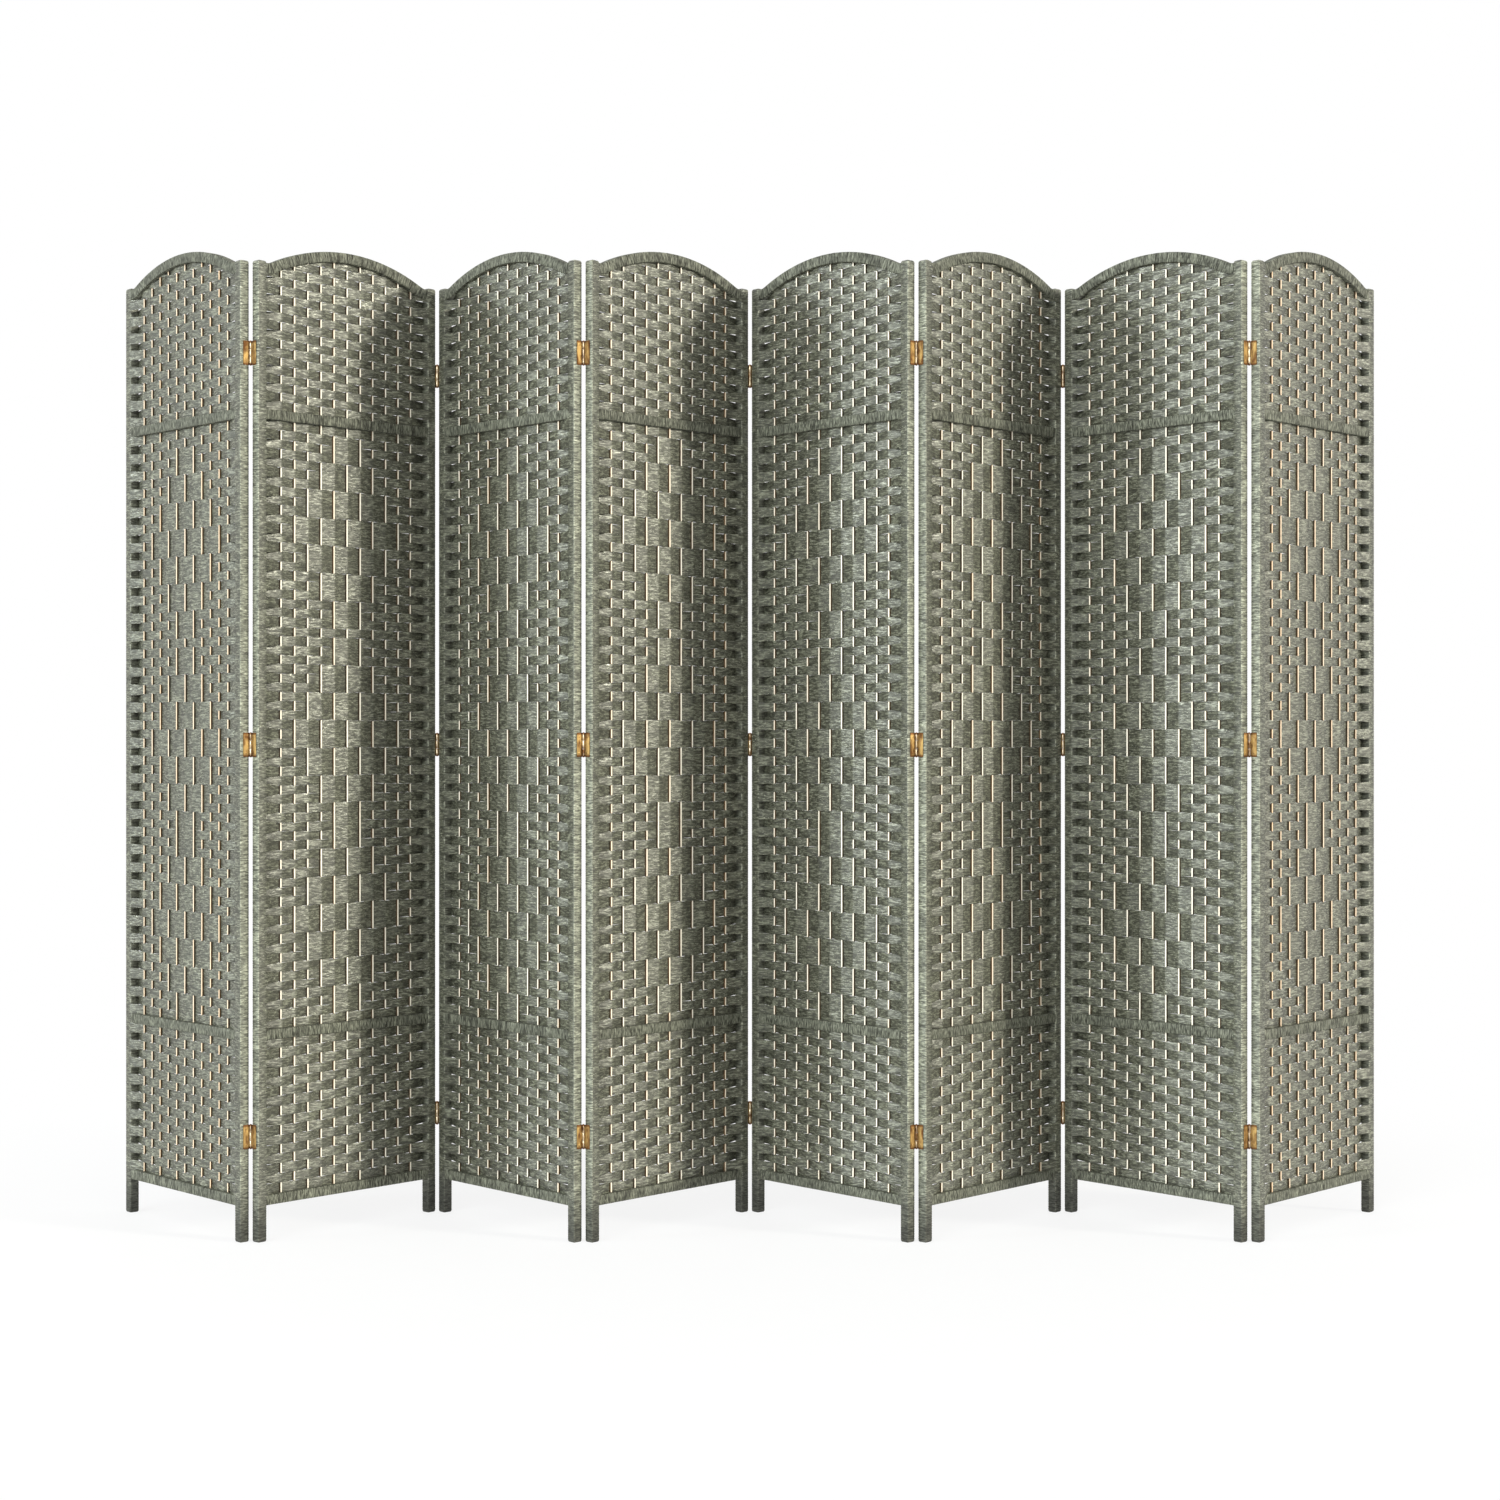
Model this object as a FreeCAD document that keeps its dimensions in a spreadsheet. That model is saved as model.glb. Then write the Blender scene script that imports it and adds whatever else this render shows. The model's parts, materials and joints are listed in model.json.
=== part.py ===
import FreeCAD, Part

import math
import os

import Sketcher

# A folding room screen: eight upright panels joined edge to edge by seven folds of three butt
# hinges. Each panel is a wrapped timber frame with an arched top, and holds upright reeds with
# flat paper ribbon woven across them. Millimetres, +Z up, the front faces -Y.
# The origin is on the floor, at the middle of the screen as it stands in its zigzag.

doc = FreeCAD.newDocument("folding_screen")

# Counts

PANELS = 8
FOLDS = PANELS - 1
REEDS = 11
BARREL_SIDES = 8
MIDDLE_ROWS = 65
HINGES_PER_FOLD = 3
KNUCKLES = 3

# Lozenges of the weave, from the upper cross rail down: (rows, reeds bared each side of the middle)

TOP_LOZENGE = [(3, 1), (3, 2), (3, 3), (3, 4), (3, 3), (3, 2), (3, 1)]
PLAIN_ROW = [(1, None)]
LOW_LOZENGES = [(3, 1), (3, 2), (3, 3), (3, 4), (3, 3), (3, 2), (5, 1),
                (3, 2), (3, 3), (3, 4), (3, 3), (3, 2), (3, 1)]
LOZENGE_ROWS = TOP_LOZENGE + PLAIN_ROW + LOW_LOZENGES
FIRST_LOZENGE_ROW = {1: 2, 0: 1}

# Driving dimensions, in millimetres and degrees

SIZES = [
    ("panel_width", 400, "one panel, over the end faces of its posts"),
    ("post_height", 1700, "posts, from the floor"),
    ("post_width", 18, "wrapped post, along the panel"),
    ("post_depth", 18, "wrapped post and rails, through the panel"),
    ("post_bevel", 1.6, "eased edges of the wrapped post"),
    ("rail_height", 18, "wrapped straight rails"),
    ("bottom_rail_level", 62, "underside of the bottom rail"),
    ("lower_rail_level", 349, "underside of the lower cross rail"),
    ("upper_rail_drop", 274, "underside of the upper cross rail below the post tops"),
    ("arch_crown", 38, "crown of the arched top rail above the post tops"),
    ("arch_drop", 3, "outer edge of the arch below the post tops, at the posts"),
    ("arch_depth", 18.5, "arched rail, from its outer to its inner curve"),
    ("arch_flare_radius", 40, "small reverse curve where the arch meets the posts"),
    ("reed_width", 4.4, "flat upright reeds, along the panel"),
    ("reed_thickness", 2.8, "flat upright reeds, through the panel"),
    ("reed_margin", 36, "from a post to the middle of the first reed"),
    ("reed_clearance", 0.05, "between a reed and what clamps it"),
    ("reed_end_clearance", 0.3, "between the top of a reed and the arch"),
    ("ribbon_thickness", 1.2, "woven ribbon on each side of the reeds"),
    ("lozenge_margin", 6, "bared beyond the outer reed of a lozenge"),
    ("end_gap", 3, "between the end faces of two panels in a straight line"),
    ("leaf_thickness", 1.2, "hinge leaf"),
    ("leaf_width", 12, "hinge leaf on the end face of a post"),
    ("leaf_clearance", 0.1, "between a leaf's straight edge and the barrel"),
    ("hinge_height", 42, "barrel and leaves"),
    ("lowest_hinge_level", 182, "middle of the lowest hinge"),
    ("highest_hinge_drop", 160, "middle of the highest hinge below the post tops"),
    ("barrel_radius", 2, "hinge barrel"),
    ("pin_radius", 1, "hinge pin"),
    ("pin_clearance", 0.05, "running fit of the pin in its knuckles"),
    ("pin_overhang", 0.6, "end of the pin beyond the barrel"),
    ("knuckle_gap", 0.3, "between two knuckles"),
    ("fold_angle", 47.5, "turn of each panel out of a straight line, in degrees"),
]

sheet = doc.addObject("Spreadsheet::Sheet", "Sizes")
for row, (alias, value, note) in enumerate(SIZES, start=1):
    sheet.set("A%d" % row, note)
    sheet.set("B%d" % row, str(value))
    sheet.setAlias("B%d" % row, alias)
doc.recompute()

# Lengths worked out from the sheet, written as expressions in the panel's own frame: X along the
# panel from the end face of its left post, Y through it, Z up

HALF_DEPTH = "Sizes.post_depth / 2"
PIN_ALONG = "Sizes.end_gap / 2"
PIN_ACROSS = "(%s + Sizes.barrel_radius)" % HALF_DEPTH
OPEN_WIDTH = "(Sizes.panel_width - 2 * Sizes.post_width)"
REED_PITCH = "((%s - 2 * Sizes.reed_margin) / %d)" % (OPEN_WIDTH, REEDS - 1)
LAYER_FACE = "(Sizes.reed_thickness / 2 + Sizes.reed_clearance)"
LOWER_RAIL_TOP = "(Sizes.lower_rail_level + Sizes.rail_height)"
UPPER_RAIL_LEVEL = "(Sizes.post_height - Sizes.upper_rail_drop)"
BOTTOM_RAIL_TOP = "(Sizes.bottom_rail_level + Sizes.rail_height)"
MIDDLE_HEIGHT = "(%s - %s)" % (UPPER_RAIL_LEVEL, LOWER_RAIL_TOP)
ROW_HEIGHT = "(%s / %d)" % (MIDDLE_HEIGHT, MIDDLE_ROWS)
PIN_SPAN = "(Sizes.panel_width + Sizes.end_gap)"
COSINE = "cos(Sizes.fold_angle)"
SINE = "sin(Sizes.fold_angle)"
FOLD_PITCH = "(%s * %s + 2 * %s * %s)" % (PIN_SPAN, COSINE, PIN_ACROSS, SINE)
FOLD_DEPTH = "(%s * %s - 2 * %s * %s)" % (PIN_SPAN, SINE, PIN_ACROSS, COSINE)


def size(alias):
    """A driving dimension, as a number."""
    return float(sheet.get(alias))


def bind(item, **expressions):
    """Bind properties of an object to expressions; a double underscore stands for a dot."""
    for name, expression in expressions.items():
        item.setExpression(name.replace("__", "."), expression)
    return item


def box(name, length, width, height, along, across, level):
    """A block whose six sizes and places are expressions in the panel's frame."""
    block = doc.addObject("Part::Box", name)
    bind(block, Length=length, Width=width, Height=height)
    bind(block, Placement__Base__x=along, Placement__Base__y=across, Placement__Base__z=level)
    return block


def prism(name, sides, radius, height, along, across, level):
    """An upright many-sided rod."""
    rod = doc.addObject("Part::Prism", name)
    rod.Polygon = sides
    bind(rod, Circumradius=radius, Height=height)
    bind(rod, Placement__Base__x=along, Placement__Base__y=across, Placement__Base__z=level)
    return rod


def place(item, panel, along="0"):
    """Stand an object of a panel's frame where that panel stands in the zigzag."""
    leans_forward = panel % 2 == 1
    near_fold = panel if leans_forward else panel - 1
    fold_along = "(%d * %s)" % (near_fold - (FOLDS + 1) // 2, FOLD_PITCH)
    if leans_forward:
        reach = "(%s - Sizes.panel_width - %s)" % (along, PIN_ALONG)
        turn = "-1"
    else:
        reach = "(%s + %s)" % (along, PIN_ALONG)
        turn = "1"
    x_place = "%s + %s * %s + %s * %s * %s" % (fold_along, reach, COSINE, turn, PIN_ACROSS, SINE)
    y_place = "-%s / 2 + %s * %s * %s - %s * %s" % (FOLD_DEPTH, turn, reach, SINE, PIN_ACROSS, COSINE)
    bind(item, Placement__Base__x=x_place, Placement__Base__y=y_place)
    bind(item, Placement__Rotation__Angle="%s * Sizes.fold_angle" % turn)
    return item


def group(label, members):
    """Several separate solids kept as one sub-part."""
    node = doc.addObject("Part::Compound", label)
    node.Label = label
    node.Links = members
    return node


# Posts: a padded rectangle with eased upright edges and an eased top

def post_outline(body):
    """A post's plan, from its left face and about the mid-plane of the panel."""
    sketch = body.newObject("Sketcher::SketchObject", body.Name + "_outline")
    plane = [item for item in body.Origin.OriginFeatures if item.Role == "XY_Plane"][0]
    sketch.AttachmentSupport = (plane, [""])
    sketch.MapMode = "FlatFace"
    width = size("post_width")
    half = size("post_depth") / 2
    corners = [(0, -half), (width, -half), (width, half), (0, half)]
    points = [FreeCAD.Vector(x, y, 0) for x, y in corners]
    for index in range(4):
        sketch.addGeometry(Part.LineSegment(points[index], points[(index + 1) % 4]))
    for index in range(4):
        sketch.addConstraint(Sketcher.Constraint("Coincident", index, 2, (index + 1) % 4, 1))
    for index, kind in enumerate(["Horizontal", "Vertical", "Horizontal"]):
        sketch.addConstraint(Sketcher.Constraint(kind, index))
    sketch.addConstraint(Sketcher.Constraint("PointOnObject", 0, 1, -2))
    sketch.addConstraint(Sketcher.Constraint("PointOnObject", 2, 2, -2))
    wide = sketch.addConstraint(Sketcher.Constraint("DistanceX", 0, 1, 0, 2, width))
    deep = sketch.addConstraint(Sketcher.Constraint("DistanceY", 1, 1, 1, 2, 2 * half))
    front = sketch.addConstraint(Sketcher.Constraint("DistanceY", 0, 1, -1, 1, half))
    for constraint, expression in [(wide, "Sizes.post_width"), (deep, "Sizes.post_depth"),
                                   (front, HALF_DEPTH)]:
        sketch.setExpression("Constraints[%d]" % constraint, expression)
    return sketch


def eased_edges(shape):
    """The upright edges of a post and the four edges round its top."""
    top = shape.BoundBox.ZMax
    names = []
    for number, edge in enumerate(shape.Edges, start=1):
        levels = [vertex.Point.z for vertex in edge.Vertexes]
        upright = abs(levels[0] - levels[1]) > top / 2
        at_top = min(levels) > top / 2
        if upright or at_top:
            names.append("Edge%d" % number)
    return names


def make_post(panel, side):
    """An upright, from the floor, with its edges still square."""
    label = "panel_%d_%s_post" % (panel, side)
    body = doc.addObject("PartDesign::Body", label)
    body.Label = label
    pad = body.newObject("PartDesign::Pad", label + "_pad")
    pad.Profile = post_outline(body)
    bind(pad, Length="Sizes.post_height")
    along = "0" if side == "left" else "(Sizes.panel_width - Sizes.post_width)"
    return place(body, panel, along)


def ease_post(body):
    """Bevel the eased edges; the pad has been computed by now."""
    pad = body.Tip
    bevel = body.newObject("PartDesign::Chamfer", body.Name + "_bevel")
    bevel.Base = (pad, eased_edges(pad.Shape))
    bind(bevel, Size="Sizes.post_bevel")
    body.Tip = bevel


# Arched top rail: its outer curve rises from the posts in a small reverse curve, then runs over
# the crown in one arc; the inner curve is the same, one rail depth below

def arch_curve(depth_below):
    """Points at the ends, middles and joints of the curve's three arcs, from the left post."""
    half_span = (size("panel_width") - 2 * size("post_width")) / 2
    middle = size("panel_width") / 2
    end_level = size("post_height") - size("arch_drop")
    crown_level = size("post_height") + size("arch_crown")
    flare = size("arch_flare_radius")
    lift = end_level + flare - crown_level
    radius = (half_span**2 + lift**2 - flare**2) / (2 * (flare - lift))
    centre_level = crown_level - radius
    flare_level = end_level + flare
    swing = math.atan2(half_span, flare_level - centre_level)
    outer = radius - depth_below
    inner = flare + depth_below
    joint = (middle - outer * math.sin(swing), centre_level + outer * math.cos(swing))
    bend = (middle - half_span + inner * math.sin(swing / 2), flare_level - inner * math.cos(swing / 2))
    left = [(middle - half_span, flare_level - inner), bend, joint]
    right = [(2 * middle - x, z) for x, z in reversed(left)]
    return left + [(middle, centre_level + outer)] + right


def arc_edges(points):
    """Three arcs through seven points."""
    vectors = [FreeCAD.Vector(x, 0, z) for x, z in points]
    return [Part.Arc(*vectors[start:start + 3]).toShape() for start in (0, 2, 4)]


def closed_slab(label, edges, front, depth):
    """A flat outline in the panel's plane, made solid through the panel."""
    slab = doc.addObject("Part::Feature", label)
    face = Part.Face(Part.Wire(Part.__sortEdges__(edges)))
    solid = face.extrude(FreeCAD.Vector(0, depth, 0))
    solid.translate(FreeCAD.Vector(0, front, 0))
    slab.Shape = solid
    return slab


def line(start, end):
    """A straight edge between two points of the panel's plane."""
    ends = [FreeCAD.Vector(x, 0, z) for x, z in (start, end)]
    return Part.LineSegment(*ends).toShape()


def make_arch(panel):
    """The arched top rail, between the posts' inner faces."""
    outer = arch_curve(0)
    inner = arch_curve(size("arch_depth"))
    edges = arc_edges(outer) + arc_edges(inner)
    edges += [line(outer[0], inner[0]), line(outer[-1], inner[-1])]
    depth = size("post_depth")
    return closed_slab("panel_%d_arch" % panel, edges, -depth / 2, depth)


# Straight rails: the bottom rail is one piece, and each cross rail is a pair of battens that clamp
# the reeds between them

def rail(name, level, front, depth):
    """A straight piece from post to post."""
    return box(name, OPEN_WIDTH, depth, "Sizes.rail_height", "Sizes.post_width", front, level)


def make_rails(panel):
    """The frame's crosspieces and its arch."""
    stem = "panel_%d_" % panel
    front = "-" + HALF_DEPTH
    members = [rail(stem + "bottom_rail", "Sizes.bottom_rail_level", front, "Sizes.post_depth")]
    batten_depth = "%s - %s" % (HALF_DEPTH, LAYER_FACE)
    for name, level in [("lower", "Sizes.lower_rail_level"), ("upper", UPPER_RAIL_LEVEL)]:
        members.append(rail(stem + name + "_front_batten", level, front, batten_depth))
        members.append(rail(stem + name + "_back_batten", level, LAYER_FACE, batten_depth))
    members.append(make_arch(panel))
    return place(group(stem + "rails", members), panel)


# Reeds: they stand on the bottom rail, pass between the battens and end just under the arch

def reed_top(along):
    """The level of the arch's inner curve over the outer side of a reed."""
    curve = arch_curve(size("arch_depth"))
    joint, crown = curve[2], curve[3]
    run = crown[0] - joint[0]
    rise = crown[1] - joint[1]
    radius = (run**2 + rise**2) / (2 * rise)
    off_middle = abs(along - crown[0]) + size("reed_width") / 2
    return crown[1] - radius + math.sqrt(radius**2 - off_middle**2) - size("reed_end_clearance")


def make_reeds(panel):
    """The upright reeds, evenly spaced between the posts."""
    open_width = size("panel_width") - 2 * size("post_width")
    pitch = (open_width - 2 * size("reed_margin")) / (REEDS - 1)
    first = size("post_width") + size("reed_margin")
    members = []
    for number in range(REEDS):
        middle = "Sizes.post_width + Sizes.reed_margin + %d * %s" % (number, REED_PITCH)
        name = "panel_%d_reed_%d" % (panel, number + 1)
        height = "%f - %s" % (reed_top(first + number * pitch), BOTTOM_RAIL_TOP)
        reed = box(name, "Sizes.reed_width", "Sizes.reed_thickness", height,
                   middle + " - Sizes.reed_width / 2", "-Sizes.reed_thickness / 2", BOTTOM_RAIL_TOP)
        members.append(reed)
    return place(group("panel_%d_reeds" % panel, members), panel)


# Woven ribbon: a layer in front of the reeds and one behind them in each of the three fields. The
# front layer of the middle field is open where the lozenges bare the reeds

def lozenge_windows(panel):
    """Blocks, stepped three rows at a time, that open the front layer over bared reeds."""
    stem = "panel_%d_lozenge_" % panel
    row = FIRST_LOZENGE_ROW[panel % 2]
    depth = "2 * Sizes.ribbon_thickness"
    across = "-%s - 1.5 * Sizes.ribbon_thickness" % LAYER_FACE
    windows = []
    for rows, reach in LOZENGE_ROWS:
        row += rows
        if reach is None:
            continue
        half_width = "(%d * %s + Sizes.lozenge_margin)" % (reach, REED_PITCH)
        height = "%d * %s" % (rows, ROW_HEIGHT)
        along = "Sizes.panel_width / 2 - " + half_width
        level = "%s - %d * %s" % (UPPER_RAIL_LEVEL, row, ROW_HEIGHT)
        name = stem + "step_%d" % (len(windows) + 1)
        windows.append(box(name, "2 * " + half_width, depth, height, along, across, level))
    cutter = doc.addObject("Part::Compound", stem + "windows")
    cutter.Links = windows
    return cutter


def layer(name, side, level, height):
    """A layer of ribbon between the posts, in front of the reeds or behind them."""
    across = LAYER_FACE if side == "back" else "-%s - Sizes.ribbon_thickness" % LAYER_FACE
    return box(name, OPEN_WIDTH, "Sizes.ribbon_thickness", height, "Sizes.post_width", across, level)


def make_top_layer(name, side):
    """The layer of the top field, which fills the curve under the arch."""
    curve = arch_curve(size("arch_depth"))
    base = size("post_height") - size("upper_rail_drop") + size("rail_height")
    corners = [(curve[0][0], base), (curve[-1][0], base)]
    edges = arc_edges(curve)
    edges += [line(*corners), line(corners[0], curve[0]), line(corners[1], curve[-1])]
    thickness = size("ribbon_thickness")
    face = size("reed_thickness") / 2 + size("reed_clearance")
    return closed_slab(name, edges, face if side == "back" else -face - thickness, thickness)


def make_weave(panel):
    """Both layers of the bottom, middle and top fields."""
    stem = "panel_%d_" % panel
    members = []
    for side in ("front", "back"):
        members.append(layer(stem + "bottom_" + side, side, BOTTOM_RAIL_TOP,
                             "Sizes.lower_rail_level - " + BOTTOM_RAIL_TOP))
        members.append(make_top_layer(stem + "top_" + side, side))
    members.append(layer(stem + "middle_back", "back", LOWER_RAIL_TOP, MIDDLE_HEIGHT))
    pierced = doc.addObject("Part::Cut", stem + "middle_front")
    pierced.Base = layer(stem + "middle_sheet", "front", LOWER_RAIL_TOP, MIDDLE_HEIGHT)
    pierced.Tool = lozenge_windows(panel)
    pierced.Refine = True
    members.append(pierced)
    return place(group(stem + "weave", members), panel)


# Butt hinges: each leaf lies on the end face of a post, and its knuckles reach round the pin, which
# stands clear of the face that the two panels fold against

KNUCKLE_HEIGHT = "((Sizes.hinge_height - %d * Sizes.knuckle_gap) / %d)" % (KNUCKLES - 1, KNUCKLES)


def hinge_foot(number):
    """The lowest level of one of the fold's hinges."""
    share = "%d / %d" % (number, HINGES_PER_FOLD - 1)
    highest = "Sizes.post_height - Sizes.highest_hinge_drop"
    rise = "(%s - Sizes.lowest_hinge_level) * %s" % (highest, share)
    return "(Sizes.lowest_hinge_level + %s - Sizes.hinge_height / 2)" % rise


def leaf(stem, number, end, side, knuckles):
    """One leaf with its bored knuckles, at the left or right end of its panel."""
    name = "%s_%d" % (stem, number + 1)
    foot = hinge_foot(number)
    sign = "" if side == "back" else "-"
    pin_along = "(Sizes.panel_width + %s)" % PIN_ALONG if end == "right" else "-" + PIN_ALONG
    pin_across = sign + PIN_ACROSS
    plate_along = "Sizes.panel_width" if end == "right" else "-Sizes.leaf_thickness"
    root = "(%s - Sizes.leaf_clearance)" % HALF_DEPTH
    plate_across = root + " - Sizes.leaf_width" if side == "back" else "-" + root
    pieces = [box(name + "_plate", "Sizes.leaf_thickness", "Sizes.leaf_width", "Sizes.hinge_height",
                  plate_along, plate_across, foot)]
    strap_width = "%s - %s" % (PIN_ACROSS, root)
    strap_across = root if side == "back" else "-" + PIN_ACROSS
    for knuckle in knuckles:
        level = "%s + %d * (%s + Sizes.knuckle_gap)" % (foot, knuckle, KNUCKLE_HEIGHT)
        tail = "_%d" % (knuckle + 1)
        pieces.append(box(name + "_strap" + tail, "Sizes.leaf_thickness", strap_width, KNUCKLE_HEIGHT,
                          plate_along, strap_across, level))
        pieces.append(prism(name + "_knuckle" + tail, BARREL_SIDES, "Sizes.barrel_radius",
                            KNUCKLE_HEIGHT, pin_along, pin_across, level))
    blank = doc.addObject("Part::MultiFuse", name + "_blank")
    blank.Shapes = pieces
    blank.Refine = True
    bore_radius = "(Sizes.pin_radius + Sizes.pin_clearance) / cos(180 / %d)" % BARREL_SIDES
    bore = prism(name + "_bore", BARREL_SIDES, bore_radius, "Sizes.hinge_height",
                 pin_along, pin_across, foot)
    bored = doc.addObject("Part::Cut", name)
    bored.Base = blank
    bored.Tool = bore
    return bored


def pin(stem, number, end, side):
    """The hinge pin, a little longer than its barrel."""
    name = "%s_pin_%d" % (stem, number + 1)
    sign = "" if side == "back" else "-"
    pin_along = "(Sizes.panel_width + %s)" % PIN_ALONG if end == "right" else "-" + PIN_ALONG
    level = hinge_foot(number) + " - Sizes.pin_overhang"
    height = "Sizes.hinge_height + 2 * Sizes.pin_overhang"
    return prism(name, BARREL_SIDES, "Sizes.pin_radius", height, pin_along, sign + PIN_ACROSS, level)


def make_fold(fold):
    """Near folds carry their barrels at the back of the screen, far folds at the front."""
    side = "back" if fold % 2 == 1 else "front"
    stem = "fold_%d_" % fold
    outer_knuckles = range(0, KNUCKLES, 2)
    inner_knuckles = range(1, KNUCKLES, 2)
    pinned = []
    free = []
    for number in range(HINGES_PER_FOLD):
        pinned.append(leaf(stem + "pinned", number, "right", side, outer_knuckles))
        pinned.append(pin(stem + "hinge", number, "right", side))
        free.append(leaf(stem + "free", number, "left", side, inner_knuckles))
    return [place(group(stem + "pinned_leaves", pinned), fold),
            place(group(stem + "free_leaves", free), fold + 1)]


nodes = [make_post(panel, side) for panel in range(1, PANELS + 1) for side in ("left", "right")]
doc.recompute()
for post in nodes:
    ease_post(post)
for panel in range(1, PANELS + 1):
    nodes += [make_rails(panel), make_reeds(panel), make_weave(panel)]
for fold in range(1, FOLDS + 1):
    nodes += make_fold(fold)

doc.recompute()

# Checks, then one file for each sub-part

for item in doc.Objects:
    if "Invalid" in item.State or "Error" in item.State:
        raise RuntimeError("%s was not made: %s" % (item.Label, item.State))
for node in nodes:
    if node.Shape.isNull() or not node.Shape.isValid():
        raise RuntimeError("%s has no sound shape" % node.Label)

os.makedirs("parts", exist_ok=True)
for node in nodes:
    node.Shape.exportStep(os.path.join("parts", node.Label + ".step"))

whole = Part.makeCompound([node.Shape for node in nodes])
limits = whole.BoundBox
print("nodes %d, solids %d" % (len(nodes), len(whole.Solids)))
print("x %.2f %.2f  y %.2f %.2f  z %.2f %.2f" % (limits.XMin, limits.XMax, limits.YMin, limits.YMax,
                                                 limits.ZMin, limits.ZMax))
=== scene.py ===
"""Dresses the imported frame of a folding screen: wound timber, reeds, woven ribbon and hinges."""

import json
import math

import bmesh
import bpy
import numpy as np
from bpy.props import FloatProperty, FloatVectorProperty, PointerProperty
from mathutils import Matrix, Vector


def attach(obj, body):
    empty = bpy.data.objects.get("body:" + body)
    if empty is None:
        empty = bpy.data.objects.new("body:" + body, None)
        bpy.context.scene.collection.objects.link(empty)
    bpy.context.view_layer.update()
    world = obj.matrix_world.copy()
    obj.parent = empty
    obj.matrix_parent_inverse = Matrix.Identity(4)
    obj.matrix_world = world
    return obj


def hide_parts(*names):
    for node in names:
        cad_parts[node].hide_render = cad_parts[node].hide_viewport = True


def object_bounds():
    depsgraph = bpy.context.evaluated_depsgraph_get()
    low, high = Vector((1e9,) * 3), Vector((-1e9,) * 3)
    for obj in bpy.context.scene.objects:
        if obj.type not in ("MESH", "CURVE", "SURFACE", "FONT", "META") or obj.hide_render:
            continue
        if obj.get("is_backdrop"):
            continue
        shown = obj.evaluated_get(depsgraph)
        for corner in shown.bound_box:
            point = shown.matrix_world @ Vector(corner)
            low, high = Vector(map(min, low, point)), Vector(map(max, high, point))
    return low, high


bl_info = {
    "name": "Woven folding screen",
    "version": (1, 0, 0),
    "blender": (4, 5, 0),
    "location": "View3D > Sidebar > Screen",
    "description": "Winds the frames, weaves the ribbon and fits the hinges of a folding screen",
    "category": "Add Mesh",
}

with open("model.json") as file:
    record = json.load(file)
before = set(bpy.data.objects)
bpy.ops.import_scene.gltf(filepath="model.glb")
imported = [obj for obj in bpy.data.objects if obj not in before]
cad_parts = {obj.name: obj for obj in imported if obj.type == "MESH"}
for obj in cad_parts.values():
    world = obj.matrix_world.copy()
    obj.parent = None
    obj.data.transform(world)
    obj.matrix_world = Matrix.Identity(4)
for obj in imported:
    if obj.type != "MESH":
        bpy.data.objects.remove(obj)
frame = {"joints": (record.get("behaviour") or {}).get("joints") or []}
cad_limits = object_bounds()

PANELS = 8
FOLDS = PANELS - 1
REEDS = 11
JOINT_PLACES = {joint["name"]: joint["pos_m"] for joint in frame["joints"]}

# Rows of ribbon in each field, by the kind of panel where the kinds differ

ODD = 1
EVEN = 0
BOTTOM_ROWS = {ODD: 17, EVEN: 16}
MIDDLE_ROWS = 65
TOP_ROWS = 18
PLAIN_ROWS_FIRST = {ODD: 2, EVEN: 1}

# Three lozenges of the middle field, from its top, as (rows, reeds bared each side of the middle)

PLAIN = None
LOZENGE_BODY = [(3, 2), (3, 3), (3, 4), (3, 3), (3, 2)]
LOZENGE_STEPS = [(3, 1), *LOZENGE_BODY, (3, 1), (1, PLAIN), (3, 1), *LOZENGE_BODY, (5, 1),
                 *LOZENGE_BODY, (3, 1)]


# Sizes and colours that a user may change


def length(name, description, default):
    return FloatProperty(name=name, description=description, default=default, min=0, unit="LENGTH",
                         precision=4)


def tint(name, description, default):
    return FloatVectorProperty(name=name, description=description, default=default, size=3,
                               min=0, max=1, subtype="COLOR")


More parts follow.
